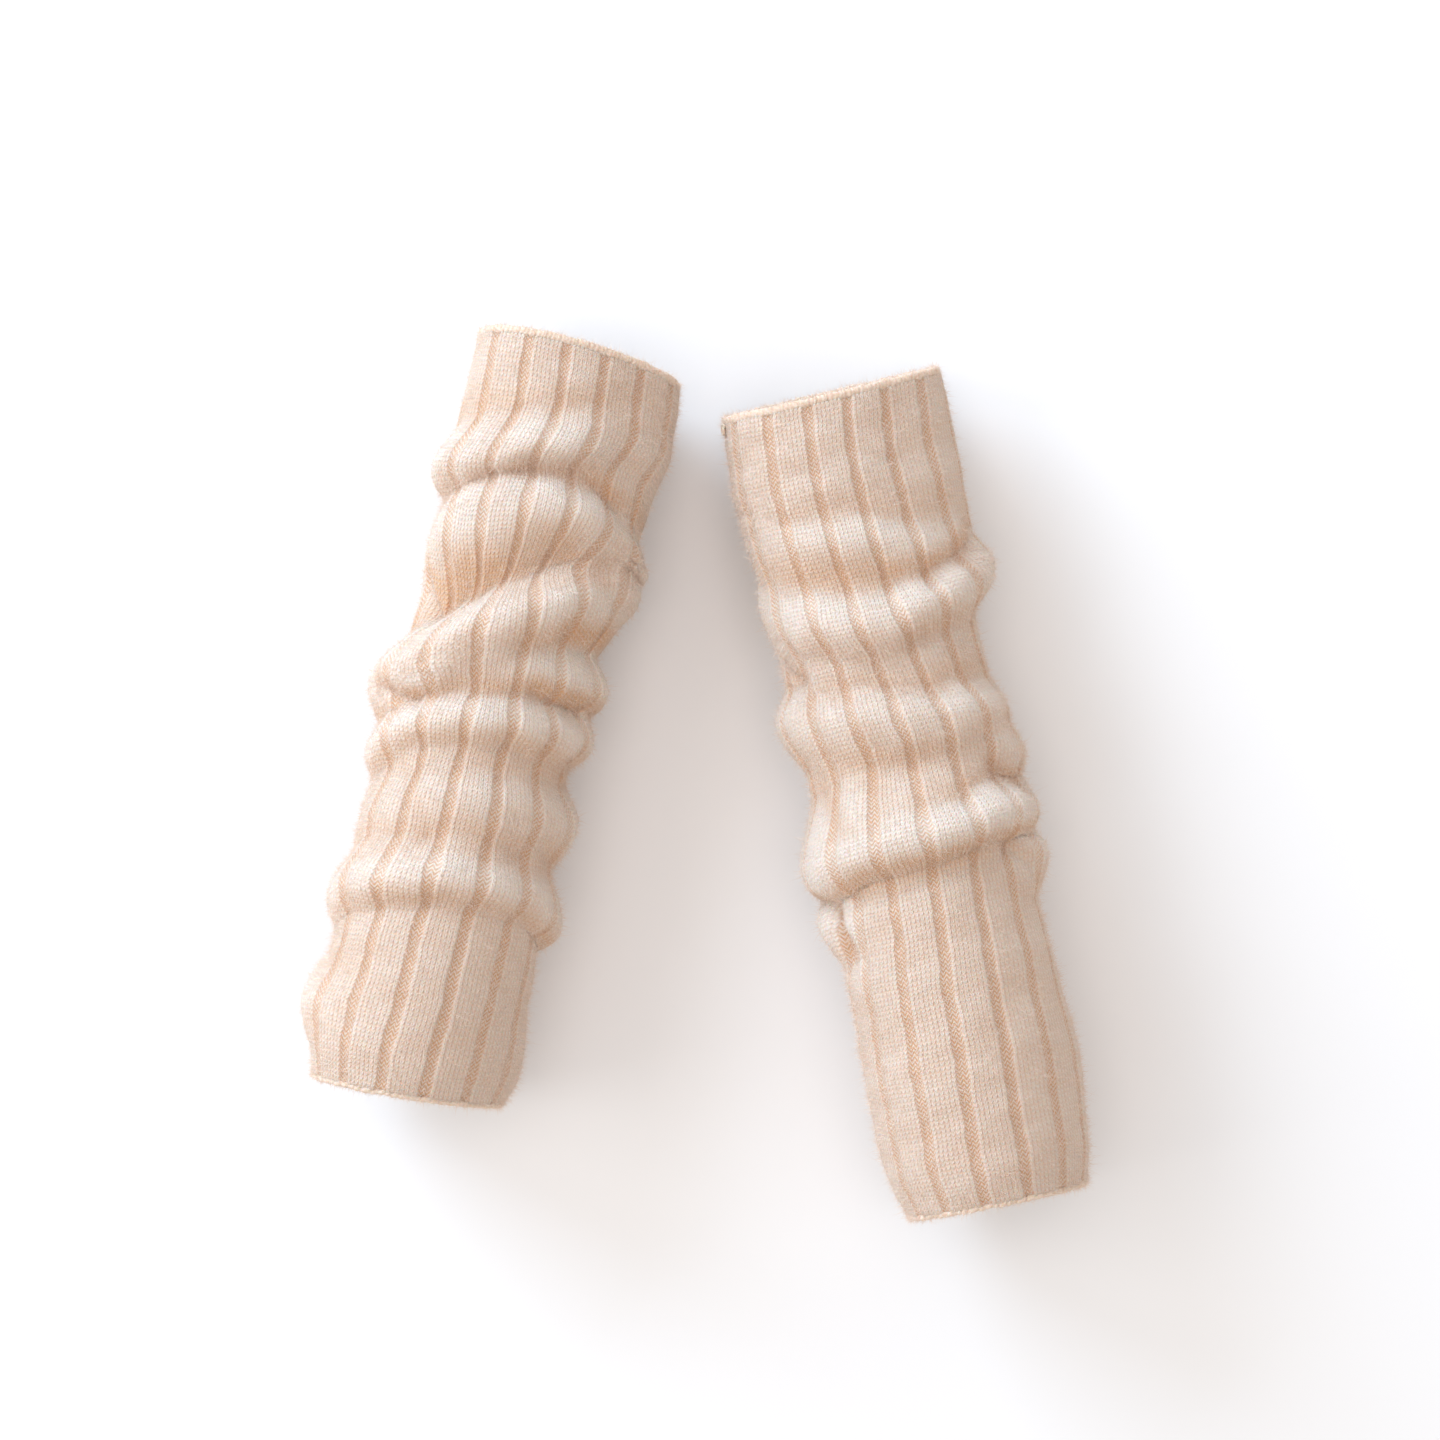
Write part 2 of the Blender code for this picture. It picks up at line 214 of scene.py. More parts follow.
@dataclass(frozen=True)
class RibKnit:
    """How the cloth is knitted: its rib repeat, its wales and courses, and its thickness."""

    ribs: int = 14
    wall: float = 2.2
    relief: float = 1.3
    face_share: float = 0.75
    knit_wales: int = 7
    purl_wales: int = 2
    course: float = 2.0
    crest: float = 0.16
    edge_crest: float = 0.34
    dip: float = -0.14
    shoulder: float = 0.70
    floor_places: tuple[float, ...] = (0.10, 0.28, 0.5, 0.72, 0.90)
    floor_rises: tuple[float, ...] = (0.44, 0.22, 0.28, 0.22, 0.44)

    @property
    def wales(self) -> int:
        """Wales in one rib repeat."""
        return self.knit_wales + self.purl_wales

    def repeat(self) -> tuple[Array, Array]:
        """Places and heights of the points across one repeat, from the rib's left shoulder.

        A knit wale has a crest in its middle and a dip on each side of it.  The two outer
        wales stand prouder, a shoulder falls away beyond them, and the channel has a low
        swell along its middle.

        Returns:
            Places as shares of a repeat from the rib's middle, and heights over the channel.
        """
        half = 0.5 * self.face_share
        borders = np.linspace(-half, half, self.knit_wales + 1)
        crests = 0.5 * (borders[:-1] + borders[1:])
        rises = np.full(self.knit_wales, self.crest)
        rises[[0, -1]] = self.edge_crest
        floor = half + (1.0 - self.face_share) * np.array(self.floor_places)
        floor_heights = self.relief * np.array(self.floor_rises)
        shoulders = np.full(2, self.shoulder * self.relief)
        places = np.concatenate([crests, borders[1:-1], borders[[0, -1]], floor])
        dips = np.full(len(crests) - 1, self.relief + self.dip)
        heights = np.concatenate([self.relief + rises, dips, shoulders, floor_heights])
        order = np.argsort(places)
        return places[order], heights[order]

    def wale_of(self, places: Array) -> Array:
        """Wales counted from the rib's left shoulder: knit ones over the face, then purl ones.

        Args:
            places: places as shares of a repeat from the rib's middle.

        Returns:
            How many wales lie before each place.
        """
        half = 0.5 * self.face_share
        knit = (places + half) / self.face_share * self.knit_wales
        purl = self.knit_wales + (places - half) / (1.0 - self.face_share) * self.purl_wales
        return np.where(places <= half, knit, purl)

    def columns(self) -> tuple[Array, Array, Array]:
        """Every column of points round the tube: the repeat's points, rib after rib.

        Returns:
            The columns' turns, their heights over the channel and their wale counts.
        """
        places, heights = self.repeat()
        rib = np.arange(self.ribs)[:, None]
        turns = (rib + places) / self.ribs
        counts = rib * self.wales + self.wale_of(places)
        return turns.ravel(), np.tile(heights, self.ribs), counts.ravel()

    def gaped(self, turns: Array, gape: Array) -> Array:
        """Move columns so that the channels open or close, with each repeat kept in place.

        A rib's face is narrowed by the gape, and its channel widens to fill the repeat.

        Args:
            turns: turns of the columns at rest.
            gape: how far the channels open at each point, as a share of a repeat.

        Returns:
            The moved turns, by row and column.
        """
        rib = np.round(turns * self.ribs)
        place = turns * self.ribs - rib
        half = 0.5 * self.face_share
        face = place * (1.0 - gape / half)
        beyond = (np.abs(place) - half) / (0.5 - half)
        channel = np.sign(place) * (half - gape + beyond * (0.5 - half + gape))
        return (rib + np.where(np.abs(place) <= half, face, channel)) / self.ribs


@dataclass(frozen=True)
class WornForm:
    """The form of one worn warmer: a tube along the arm with its folds and creases.

    The folds run on beneath the arm by the under share.  Fullness and top tightness shape
    their crests, and lip and least lean the faces of those that lean.  The channels rise
    less by their pinch, and the arc radius turns a crease's degrees into millimetres.
    Drift, rumple, crumple and the crests' wander and swell are the small unevenness of worn
    cloth.
    """

    side: Side
    sections: tuple[Section, ...]
    folds: tuple[Fold, ...]
    creases: tuple[Crease, ...]
    wrist: Rim
    elbow: Rim
    hold_station: float
    hold_point: tuple[float, float]
    bearing: float
    sway: float
    knit: RibKnit = RibKnit()
    under_share: float = 0.55
    fullness: float = 0.68
    slope_share: float = 0.5
    lip: float = 2.2
    least_lean: float = 0.3
    top_tightness: float = 0.42
    arc_radius: float = 42.0
    drift: float = 0.03
    rumple: float = 0.45
    crumple: float = 0.22
    crest_wander: float = 0.6
    crest_swell: float = 0.04
    channel_pinch: float = 0.03

    def landmarks(self) -> Array:
        """Mean stations of the hand end, every crest and the elbow end."""
        crests = [0.25 * (f.at_left + 2.0 * f.at_top + f.at_right) for f in self.folds]
        return np.array([self.wrist.station, *crests, self.elbow.station])

    def crest_station(self, fold: Fold, angle: Array) -> Array:
        """Station of a fold's crest at each angle; underneath, it joins the two sides."""
        over = (fold.at_right, fold.at_upper_right, fold.at_top, fold.at_upper_left, fold.at_left)
        return around(compass_of(over, 0.5 * (fold.at_left + fold.at_right)), angle)

    def crest_rise(self, fold: Fold, angle: Array) -> Array:
        """Rise of a fold's crest round the arm; underneath, the arm's weight presses it down.

        Args:
            fold: the fold.
            angle: angles round the arm.

        Returns:
            The rise at each angle.
        """
        under = self.under_share * 0.5 * (fold.rise_left + fold.rise_right)
        over = (fold.rise_right, fold.rise_upper_right, fold.rise_top, fold.rise_upper_left, fold.rise_left)
        return around(compass_of(over, under), angle)

    def station(self, marks: Array, angle: Array) -> Array:
        """Station of each point: rows run along the rims and crests, and glide between them.

        Args:
            marks: mean station of each row.
            angle: angles of the points, row by row.

        Returns:
            The points' stations.
        """
        lines = [rim.station + rim.slant * np.cos(angle) + rim.bow * np.sin(angle)
                 for rim in (self.wrist, self.elbow)]
        crests = [self.crest_station(fold, angle) for fold in self.folds]
        return glide(self.landmarks(), np.stack([lines[0], *crests, lines[1]]), marks)

    def fold_lift(self, station: Array, angle: Array) -> tuple[Array, Array]:
        """Height of the folds over the arm, and their push towards the elbow.

        A fold is a raised cosine across its crest, wider on one side than on the other.  It
        is raised to a power, under one at the sides, where the crest is full and the foot is
        tight, and over one on top, where the foot runs out softly.  A fold that leans far
        gets part of a parabola on its elbow side, which keeps its face full down to a lip.
        The crest wanders and swells a little from rib to rib.

        Args:
            station: stations of the points.
            angle: their angles round the arm.

        Returns:
            The height and the push at each point.
        """
        rise = np.zeros_like(angle)
        push = np.zeros_like(angle)
        fullness = self.fullness + self.top_tightness * np.clip(np.sin(angle), 0.0, 1.0) ** 2
        for count, fold in enumerate(self.folds):
            wander = two_sines(angle, (6.0, 2.1 * count), (13.0, 4.0 * count))
            swell = two_sines(angle, (5.0, 1.3 * count), (11.0, 3.1 * count))
            away = station - self.crest_station(fold, angle) - self.crest_wander * wander
            share = away / np.where(away < 0.0, fold.hand_side, fold.elbow_side)
            near = np.clip(share, -1.0, 1.0)
            wave = (0.5 + 0.5 * np.cos(math.pi * near)) ** fullness
            lip = self.lip * max(0.0, fold.lean - self.least_lean) / (1.0 - self.least_lean)
            bump = np.where(near < 0.0, wave, (1.0 - lip) * wave + lip * (1.0 - near**2))
            height = self.crest_rise(fold, angle) * bump * (1.0 + self.crest_swell * swell)
            rise += height
            push += fold.lean * height
        return rise, push

    def crease_lift(self, station: Array, angle: Array) -> Array:
        """Height that the creases add: a bell across each crease's line, rounded at its ends.

        Args:
            station: stations of the points.
            angle: their angles round the arm.

        Returns:
            The height at each point, negative in a trough.
        """
        lift = np.zeros_like(angle)
        for crease in self.creases:
            start = math.radians(crease.from_degrees)
            reach = math.radians(crease.to_degrees) - start
            round_it = math.remainder(reach, TAU) * self.arc_radius
            along_it = crease.to_station - crease.from_station
            beside = (np.mod(angle - start + math.pi, TAU) - math.pi) * self.arc_radius
            along = station - crease.from_station
            share = (beside * round_it + along * along_it) / (round_it**2 + along_it**2)
            share = np.clip(share, 0.0, 1.0)
            gap = (beside - share * round_it) ** 2 + (along - share * along_it) ** 2
            lift -= crease.depth * np.exp(-gap / crease.width**2)
        return lift

    def uneven(self, marks: Array, turns: Array) -> Array:
        """A slow unevenness: three sines, 67, 41 and 23 mm long, that cross the cloth at a slant.

        Args:
            marks: mean station of each row.
            turns: shares of a whole turn.

        Returns:
            A number between -1 and 1 at each mark and turn.
        """
        along = marks[:, None]
        first = np.sin(TAU * (along / 67.0 + 2.0 * turns))
        second = np.sin(TAU * (along / 41.0 - 3.0 * turns + 0.3))
        third = np.sin(TAU * (along / 23.0 + 5.0 * turns + 0.7))
        return (first + second + 0.7 * third) / 2.7

    def inside(self, marks: Array, turns: Array) -> tuple[Array, Array, Array]:
        """The inside of the cloth at each mark and turn.

        The arm's section is an ellipse.  A turn becomes an angle so that equal turns are
        nearly equal lengths of cloth, and sways away from the top where a fold lifts the
        cloth.  Folds and creases stand off the ellipse along its own outward direction.

        Args:
            marks: mean station of each row.
            turns: shares of a whole turn, clockwise from the top.

        Returns:
            The points, the direction away from the arm, and the height of the folds.
        """
        knots = np.array([section.station for section in self.sections], float)
        table = np.array([section[1:] for section in self.sections])
        spread = np.repeat(table[:, None, :], len(marks), axis=1)
        centre, half_width, half_height, lift, turn = (v[:, None] for v in glide(knots, spread, marks).T)
        half_width = half_width - self.knit.wall - self.knit.relief
        half_height = half_height - self.knit.wall - self.knit.relief
        drift = self.drift * self.uneven(marks, turns)
        phase = 0.25 * TAU - TAU * (turns + (turn + drift) / self.knit.ribs)
        oval = (half_width**2 - half_height**2) / (half_width**2 + half_height**2)
        angle = phase + 0.25 * oval * np.sin(2.0 * phase)
        angle = angle - self.sway * self.fold_lift(self.station(marks, angle), angle)[0] * np.cos(angle)
        station = self.station(marks, angle)
        rise, push = self.fold_lift(station, angle)
        rise = rise * (1.0 - self.channel_pinch * (0.5 - 0.5 * np.cos(TAU * self.knit.ribs * turns)))
        # The same unevenness, read elsewhere and again three times as fine, rumples the cloth.
        rise = rise + self.crease_lift(station, angle) + self.rumple * self.uneven(marks + 19.0, turns + 0.4)
        rise = rise + self.crumple * self.uneven(3.1 * marks, 2.0 * turns + 0.2)
        away = unit(np.stack([np.cos(angle) / half_width, 0.0 * angle, np.sin(angle) / half_height], axis=-1))
        base = np.stack([centre + half_width * np.cos(angle), self.hold_station - station - push,
                         lift + half_height * np.sin(angle)], axis=-1)
        return base + rise[..., None] * away, away, rise

    def cloth(self, marks: Array, turns: Array) -> tuple[Array, Array, Array]:
        """The inside points, the way that the cloth's thickness is laid, and the folds' height.

        That way lies between the arm's outward direction and the cloth's own slope, which
        comes from small steps along and round it.

        Args:
            marks: mean station of each row.
            turns: shares of a whole turn.

        Returns:
            The points, the directions and the heights.
        """
        inside, away, rise = self.inside(marks, turns)
        step_round, step_along = 0.0005, 0.01
        round_it = self.inside(marks, turns + step_round)[0] - self.inside(marks, turns - step_round)[0]
        along_it = self.inside(marks + step_along, turns)[0] - self.inside(marks - step_along, turns)[0]
        slope = unit(np.cross(along_it, round_it))
        return inside, unit(self.slope_share * slope + (1.0 - self.slope_share) * away), rise

    def even_marks(self, rows: int) -> Array:
        """Marks of rows that lie equally far apart along the cloth, averaged round the tube.

        Args:
            rows: how many rows.

        Returns:
            The mean station of each.
        """
        samples, columns = 1200, 16
        dense = np.linspace(self.wrist.station, self.elbow.station, samples)
        points = self.inside(dense, np.arange(columns) / columns)[0]
        steps = np.linalg.norm(np.diff(points, axis=0), axis=-1).mean(axis=1)
        run = np.concatenate([[0.0], np.cumsum(steps)])
        return np.interp(np.linspace(0.0, run[-1], rows), run, dense)

    def place(self, points: Array) -> Array:
        """Put points where the arm lies in the frame: turned to its bearing, then moved.

        Args:
            points: points beside the arm, in millimetres.

        Returns:
            The points in the frame's metres.
        """
        cosine, sine = math.cos(math.radians(self.bearing)), math.sin(math.radians(self.bearing))
        x = self.hold_point[0] + points[..., 0] * cosine - points[..., 1] * sine
        y = self.hold_point[1] + points[..., 0] * sine + points[..., 1] * cosine
        return np.stack([x, y, points[..., 2]], axis=-1) * MM


LEFT_FORM = WornForm(
    side=Side.LEFT,
    sections=(
        Section(0, 0.0, 45.0, 32.0, -4.0, 0.21),
        Section(36, 1.0, 45.8, 33.0, -3.0, 0.30),
        Section(56, 0.2, 43.2, 33.2, -2.6, 0.05),
        Section(76, -0.8, 42.2, 33.5, -2.5, 0.22),
        Section(122, -4.5, 40.0, 35.0, -1.0, 0.12),
        Section(172, -5.2, 39.8, 36.5, 0.5, 0.30),
        Section(222, -5.0, 41.5, 40.0, 3.5, 0.33),
        Section(265, -3.0, 43.5, 43.0, 6.0, 0.18),
        Section(305, -2.0, 44.0, 44.5, 7.5, 0.08),
        Section(322, -0.8, 41.0, 42.0, 6.5, 0.03),
    ),
    folds=(
        Fold("below the hand", 60, 50, 39, 34, 40, 6.5, 6.4, 7.4, 2.2, 0.8, 17, 13, 0.35),
        Fold("sharp crease", 91, 72, 66, 72, 86, 3.0, 2.6, 4.6, 6.0, 7.0, 13, 22, -0.1),
        Fold("hollow", 123, 117, 101, 88, 85, 0.0, -9.5, -6.6, -2.5, -0.8, 31, 13, 0.0),
        Fold("long slant", 151, 139, 116, 100, 99, 12.5, 9.6, 8.8, 7.2, 8.0, 17, 28, 0.25),
        Fold("inner bulge", 164, 152, 139, 137, 139, 0.0, 0.0, 2.0, 4.6, 10.0, 14, 13, 0.1),
        Fold("short roll", 184, 169, 160, 159, 159, 6.5, 5.6, 5.2, 6.0, 8.6, 12, 15, 0.25),
        Fold("soft swell", 211, 205, 196, 196, 198, 1.5, 2.5, 3.2, 5.0, 9.0, 16, 23, 0.0),
        Fold("elbow roll", 245, 234, 226, 225, 235, 6.5, 7.2, 7.4, 7.0, 10.0, 17, 16, 0.4),
        Fold("hem swell", 293, 292, 291, 292, 298, 7.0, 1.5, 0.0, 0.0, 2.5, 22, 22, 0.0),
    ),
    creases=(
        Crease("valley under the first fold", 52, 70, 56, 106, 1.6, 5.0),
        Crease("foot of the sharp crease", 56, 60, 74, 24, 2.2, 4.5),
        Crease("flat beside the wrist bone", 2, 58, 32, 58, 1.4, 13.0),
        Crease("wedge beside the hollow", 108, 172, 124, 150, 2.6, 4.5),
        Crease("pocket under the slant", 153, 166, 158, 132, 3.8, 5.0),
        Crease("nip in the slant's back", 119, 52, 126, 30, 1.4, 4.0),
        Crease("nip under the inner bulge", 146, 60, 150, 20, 1.8, 4.0),
        Crease("dent in the swell", 200, 120, 214, 104, 0.9, 6.0),
        Crease("dent above the elbow roll", 216, 66, 220, 30, 1.2, 5.0),
        Crease("pinch behind the wrist", 62, 225, 70, 262, 2.0, 5.0),
        Crease("wedge below", 118, 285, 132, 318, 2.2, 5.0),
        Crease("pocket below", 176, 215, 170, 250, 2.0, 5.0),
        Crease("nip below the elbow roll", 238, 262, 228, 300, 1.6, 5.0),
    ),
    wrist=Rim(3.3, 2.0, -5.0),
    elbow=Rim(321.5, -2.5, -1.5),
    hold_station=160.0,
    hold_point=(0.0, 0.0),
    bearing=-13.0,
    sway=0.010,
)

RIGHT_FORM = WornForm(
    side=Side.RIGHT,
    sections=(
        Section(0, -0.2, 48.2, 31.0, -5.0, -0.22),
        Section(36, -1.0, 49.0, 32.0, -4.0, -0.33),
        Section(75, -1.0, 46.5, 32.5, -3.5, -0.20),
        Section(115, -1.7, 43.0, 33.8, -2.0, 0.25),
        Section(165, -0.2, 43.0, 36.0, 0.5, 0.52),
        Section(205, -0.4, 43.2, 39.5, 3.5, 0.48),
        Section(250, -0.5, 43.5, 42.0, 5.5, 0.34),
        Section(300, 0.8, 45.8, 44.5, 7.5, 0.16),
        Section(334, -0.2, 43.8, 44.5, 7.5, 0.14),
        Section(355, 0.2, 39.2, 41.0, 6.0, 0.12),
    ),
    folds=(
        Fold("faint ripple", 40, 42, 44, 46, 46, 0.0, 0.3, 0.8, 0.6, 0.2, 12, 11, 0.0),
        Fold("first ripple", 57, 62, 69, 76, 78, 1.2, 2.3, 3.4, 2.6, 1.0, 12, 20, 0.3),
        Fold("thumb bulge", 89, 98, 102, 95, 87, 3.4, 4.0, 6.2, 8.0, 9.4, 14, 19, 0.3),
        Fold("middle ripple", 136, 139, 143, 147, 148, 8.0, 5.0, 6.3, 6.8, 5.5, 13, 25, 0.3),
        Fold("outer tuck", 170, 167, 167, 168, 170, 0.0, 0.0, 0.0, 1.5, 7.5, 14, 13, 0.0),
        Fold("great ridge", 198, 190, 186, 184, 185, 10.5, 11.0, 8.4, 2.5, 0.0, 25, 21, 0.54),
        Fold("ridge's far end", 201, 193, 188, 186, 187, 0.0, 0.4, 3.0, 8.6, 8.0, 9, 17, 0.53),
        Fold("side tucks", 225, 224, 220, 216, 212, 8.0, 0.2, 0.0, 0.0, 8.5, 14, 19, 0.0),
    ),
    creases=(
        Crease("foot of the thumb bulge", 89, 58, 76, 20, 1.4, 4.5),
        Crease("flat beside the wrist bone", 2, 58, 44, 62, 1.2, 13.0),
        Crease("wedge on the inner side", 112, 172, 122, 150, 3.0, 4.5),
        Crease("wedge's lower edge", 122, 150, 128, 168, 2.0, 4.0),
        Crease("hollow above the ridge", 173, 42, 181, 18, 2.6, 5.0),
        Crease("pocket below the ridge", 207, 40, 217, 22, 2.4, 4.5),
        Crease("trough below the ridge", 221, 158, 210, 40, 1.2, 4.5),
        Crease("hollow under the ridge", 215, 171, 238, 162, 9.0, 7.5),
        Crease("dent beside the ridge", 176, 150, 186, 128, 1.4, 5.0),
        Crease("dent in the lower tube", 266, 60, 284, 78, 0.7, 8.0),
        Crease("swell below the ridge", 252, 30, 254, 150, -0.9, 11.0),
        Crease("pinch behind the thumb", 82, 262, 92, 232, 2.0, 5.0),
        Crease("wedge below", 132, 300, 142, 330, 2.2, 5.0),
        Crease("hollow below the ridge", 206, 250, 214, 290, 2.6, 6.0),
    ),
    wrist=Rim(4.3, -1.5, 3.0),
    elbow=Rim(354.5, 0.0, -4.0),
    hold_station=150.0,
    hold_point=(173.8, -4.4),
    bearing=11.5,
    sway=0.004,
)


# --------------------------------------------------------------------------------------------
# Meshes and nodes.
# --------------------------------------------------------------------------------------------


def wrapped_quads(rows: int, columns: int, start: int = 0) -> Whole:
    """Quads of a grid that closes round its columns, row by row.

    Args:
        rows: rows of points.
        columns: points in a row.
        start: the first point's number.

    Returns:
        Four corners for each quad: this row, next row, next row beside, this row beside.
    """
    row, column = np.meshgrid(np.arange(rows - 1), np.arange(columns), indexing="ij")
    here = start + row * columns + column
    beside = start + row * columns + (column + 1) % columns
    return np.stack([here, here + columns, beside + columns, beside], axis=-1).reshape(-1, 4)


def band_quads(first: Whole, second: Whole) -> Whole:
    """Quads of the closed band between two rings of as many points."""
    return np.stack([first, second, np.roll(second, -1), np.roll(first, -1)], axis=-1)


def make_piece(name: str, points: Array, faces: Whole) -> bpy.types.Object:
    """Make a smooth mesh object at the frame's origin.

    Args:
        name: the piece's name.
        points: its points in metres.
        faces: the corners of its faces, one row each.

    Returns:
        The object, linked to the scene.
    """
    mesh = bpy.data.meshes.new(name)
    mesh.from_pydata(points.reshape(-1, 3).tolist(), [], faces.tolist())
    mesh.shade_smooth()
    piece = bpy.data.objects.new(name, mesh)
    bpy.context.scene.collection.objects.link(piece)
    return piece


def lay_map(piece: bpy.types.Object, name: str, corners: Array) -> None:
    """Give a mesh a UV map from two numbers for each face corner."""
    layer = piece.data.uv_layers.new(name=name)
    layer.data.foreach_set("uv", corners.reshape(-1))


def note(piece: bpy.types.Object, name: str, values: Array) -> None:
    """Give a mesh a number for each point, which its material reads."""
    attribute = piece.data.attributes.new(name, "FLOAT", "POINT")
    attribute.data.foreach_set("value", values.reshape(-1))


def linear(colour: str) -> tuple[float, float, float, float]:
    """Turn an sRGB hex colour into a linear one with full alpha.

    Args:
        colour: "#" and six hex digits.

    Returns:
        Red, green, blue and alpha.
    """
    shares = [int(colour[i : i + 2], 16) / 255.0 for i in (1, 3, 5)]
    red, green, blue = (s / 12.92 if s <= 0.04045 else ((s + 0.055) / 1.055) ** 2.4 for s in shares)
    return (red, green, blue, 1.0)


def set_sockets(node: bpy.types.Node, feeds: Mapping[Union[str, int], Feed]) -> None:
    """Feed a node's sockets.

    Args:
        node: the node.
        feeds: for each socket, a number or colour, or the socket that drives it.
    """
    for key, feed in feeds.items():
        if isinstance(feed, bpy.types.NodeSocket):
            node.id_data.links.new(feed, node.inputs[key])
        else:
            node.inputs[key].default_value = feed


def add_node(
    tree: bpy.types.NodeTree,
    kind: str,
    settings: Mapping[str, object],
    feeds: Mapping[Union[str, int], Feed],
) -> bpy.types.Node:
    """Add a node, set it up and feed its sockets.

    Args:
        tree: the material's nodes.
        kind: the node's type without its first words, such as "TexNoise".
        settings: its properties.
        feeds: what its sockets get, as for set_sockets.

    Returns:
        The node.
    """
    node = tree.nodes.new("ShaderNode" + kind)
    for key, value in settings.items():
        setattr(node, key, value)
    set_sockets(node, feeds)
    return node


class Step(NamedTuple):
    """One line of a formula: its result's name, the operation and what it works on."""

    result: str
    operation: str
    first: Union[str, float]
    second: Union[str, float] = 0.0
    third: Union[str, float] = 0.0


def work_out(
    tree: bpy.types.NodeTree, known: dict[str, bpy.types.NodeSocket], steps: tuple[Step, ...]
) -> dict[str, bpy.types.NodeSocket]:
    """Turn a formula into nodes, one for each step.

    Args:
        tree: the material's nodes.
        known: named sockets that the steps may use.
        steps: the formula, in order.

    Returns:
        The known sockets and every result.
    """
    found = dict(known)
    for step in steps:
        terms = {
            place: found[term] if isinstance(term, str) else term
            for place, term in enumerate((step.first, step.second, step.third))
        }
        found[step.result] = add_node(tree, "Math", {"operation": step.operation}, terms).outputs[0]
    return found


# --------------------------------------------------------------------------------------------
# Finishes.
# --------------------------------------------------------------------------------------------


@dataclass(frozen=True)
class Finish:
    """What a piece's surface is made of; each kind sets up the shader in its own way."""

    def make(self, name: str) -> bpy.types.Material:
        """Make the finish's material.

        Args:
            name: the material's name.

        Returns:
            The material.
        """
        material = bpy.data.materials.new(name)
        material.use_nodes = True
        self.set_up(material.node_tree, material.node_tree.nodes["Principled BSDF"])
        return material

    def set_up(self, tree: bpy.types.NodeTree, shader: bpy.types.Node) -> None:
        """Set up a new material's nodes and its shader."""
        raise NotImplementedError


@dataclass(frozen=True)
class CashmereYarn(Finish):
    """Soft woollen-spun cashmere: a pale pile colour, and a deep tone that the rib knit mixes in as painted
    shade.
    """

    pile: str = "#E5D8CC"
    # The tone that painted shade reaches in the gaps between loops, the channels and the fold valleys; flat
    # cloth mixes it with the pile.
    deep_tone: str = "#CFA27C"
    roughness: float = 0.92
    refraction: float = 1.5
    gloss: float = 0.2
    sheen: float = 0.45
    sheen_roughness: float = 0.45
    sheen_tint: str = "#FFF3E8"
    glow: float = 0.35
    glow_reach: float = 3.0
    glow_spread: tuple[float, float, float] = (1.0, 0.5, 0.28)

    def set_up(self, tree: bpy.types.NodeTree, shader: bpy.types.Node) -> None:
        """Set up the shader: matte, with a soft sheen and a warm glow.

        Args:
            tree: the material's nodes; not used.
            shader: its Principled shader.
        """
        set_sockets(shader, {
            "Base Color": linear(self.pile),
            "Roughness": self.roughness,
            "IOR": self.refraction,
            "Specular IOR Level": self.gloss,
            "Sheen Weight": self.sheen,
            "Sheen Roughness": self.sheen_roughness,
            "Sheen Tint": linear(self.sheen_tint),
            "Subsurface Weight": self.glow,
            "Subsurface Radius": self.glow_spread,
            "Subsurface Scale": self.glow_reach * MM,
        })


